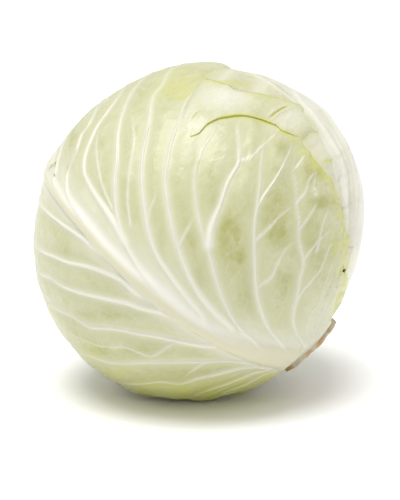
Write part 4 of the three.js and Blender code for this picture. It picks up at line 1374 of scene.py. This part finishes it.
def stem_material():
    shader = Shader("cut_stem")
    place = shader.node("ShaderNodeTexCoord").outputs["Object"]
    broad = shader.spread(shader.noise(110, 4, 0.6, place, 0.8), 0.42, 0.62)
    fine = shader.noise(420, 5, 0.65, place)
    colour = shader.mix(fine, STEM_DARK, STEM_PALE)
    brown = shader.mix(fine, BROWN_DARK, BROWN_PALE)
    spots = shader.math("MULTIPLY", shader.attribute("brown"), shader.spread(fine, 0.25, 0.6))
    browned = shader.math("ADD", spots, shader.math("MULTIPLY", broad, 0.35), clamp=True)
    colour = shader.mix(browned, colour, brown)
    shader.surface({"Base Color": colour, "Roughness": 0.75, "Specular IOR Level": 0.3})
    shader.bump(fine, 0.6)
    return shader.material


def floor_material():
    shader = Shader("studio_floor")
    shader.surface({"Base Color": FLOOR_GREY, "Roughness": 0.9, "Specular IOR Level": 0.0})
    return shader.material


# Studio, with lengths in metres. The key light's spread is in degrees.

FLOOR_HALF = 30.0
WORLD_LIGHT = 0.75
KEY_FROM = (-0.14, -0.18, 0.96)
KEY_SPREAD = 40
KEY_STRENGTH = 2.65


def make_camera():
    data = bpy.data.cameras.new("camera")
    data.sensor_width = SENSOR_MM
    data.lens = FOCAL_PX * SENSOR_MM / FRAME_HEIGHT
    data.clip_end = 100
    camera = bpy.data.objects.new("camera", data)
    camera.location = (CENTRE + CAMERA_FROM_CENTRE) * MM
    camera.rotation_euler = (math.pi / 2 - CAMERA_TILT * RAD, 0, 0)
    bpy.context.scene.collection.objects.link(camera)
    bpy.context.scene.camera = camera


def add_sun(name, away, spread, strength):
    """A distant soft light, away being the direction that it comes from."""
    data = bpy.data.lights.new(name, "SUN")
    data.angle = spread * RAD
    data.energy = strength
    light = bpy.data.objects.new(name, data)
    light.rotation_euler = Vector(away).to_track_quat("Z", "Y").to_euler()
    bpy.context.scene.collection.objects.link(light)


def make_studio():
    scene = bpy.context.scene
    scene.view_settings.view_transform = "Standard"
    world = bpy.data.worlds.new("studio")
    scene.world = world
    world.use_nodes = True
    background = world.node_tree.nodes["Background"]
    background.inputs["Color"].default_value = (1, 1, 1, 1)
    background.inputs["Strength"].default_value = WORLD_LIGHT
    mesh = bpy.data.meshes.new("floor")
    corners = [(x * FLOOR_HALF, y * FLOOR_HALF, 0) for x, y in ((-1, -1), (1, -1), (1, 1), (-1, 1))]
    mesh.from_pydata(corners, [], [(0, 1, 2, 3)])
    mesh.materials.append(floor_material())
    floor = bpy.data.objects.new("floor", mesh)
    scene.collection.objects.link(floor)
    add_sun("key", KEY_FROM, KEY_SPREAD, KEY_STRENGTH)


# The head put together, from the outermost leaf inwards

# Node, longitude, half widths, depth, columns and rows of the grid, share of the relief, seed
OUTER_OVALS = [
    ("right_leaf", -117, (128, 112), RIGHT_LEAF_DEPTH, 801, 121, 1.0, 40),
    ("left_leaf", 138, (129, 129), LEFT_LEAF_DEPTH, 401, 57, 0.8, 50),
]
# Node, longitude and depth of the leaves that nothing shows, and what they have in common
INNER_OVALS = [("inner_leaf_1", -40, 7.1), ("inner_leaf_2", -172, 10.1), ("inner_leaf_3", 62, 13.1)]
INNER_HALF_WIDTHS = (112, 112)
INNER_COLUMNS = 121
INNER_ROWS = 25
INNER_RELIEF = 0.4
INNER_SEED = 60

make_camera()
outer_material = leaf_material("outer_leaf", LIGHT, GREEN, WHITE, LUSH)
inner_material = leaf_material("inner_leaf", INNER_LIGHT, INNER_GREEN, WHITE, INNER_LUSH)
covers = [make_front_leaf(outer_material)]
for node, longitude, half_widths, depth, columns, rows, relief, seed in OUTER_OVALS:
    mesh, cover = oval_leaf(
        node + "_blade", longitude, half_widths, depth, covers, columns, rows, relief, seed)
    add_piece(mesh, outer_material, node)
    covers.append(cover)
for node, longitude, depth in INNER_OVALS:
    mesh, _ = oval_leaf(
        node + "_blade", longitude, INNER_HALF_WIDTHS, depth, [], INNER_COLUMNS, INNER_ROWS,
        INNER_RELIEF, INNER_SEED)
    add_piece(mesh, inner_material, node)
make_stem(stem_material())
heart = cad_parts["heart"]
heart.data.materials.clear()
heart.data.materials.append(inner_material)
make_studio()
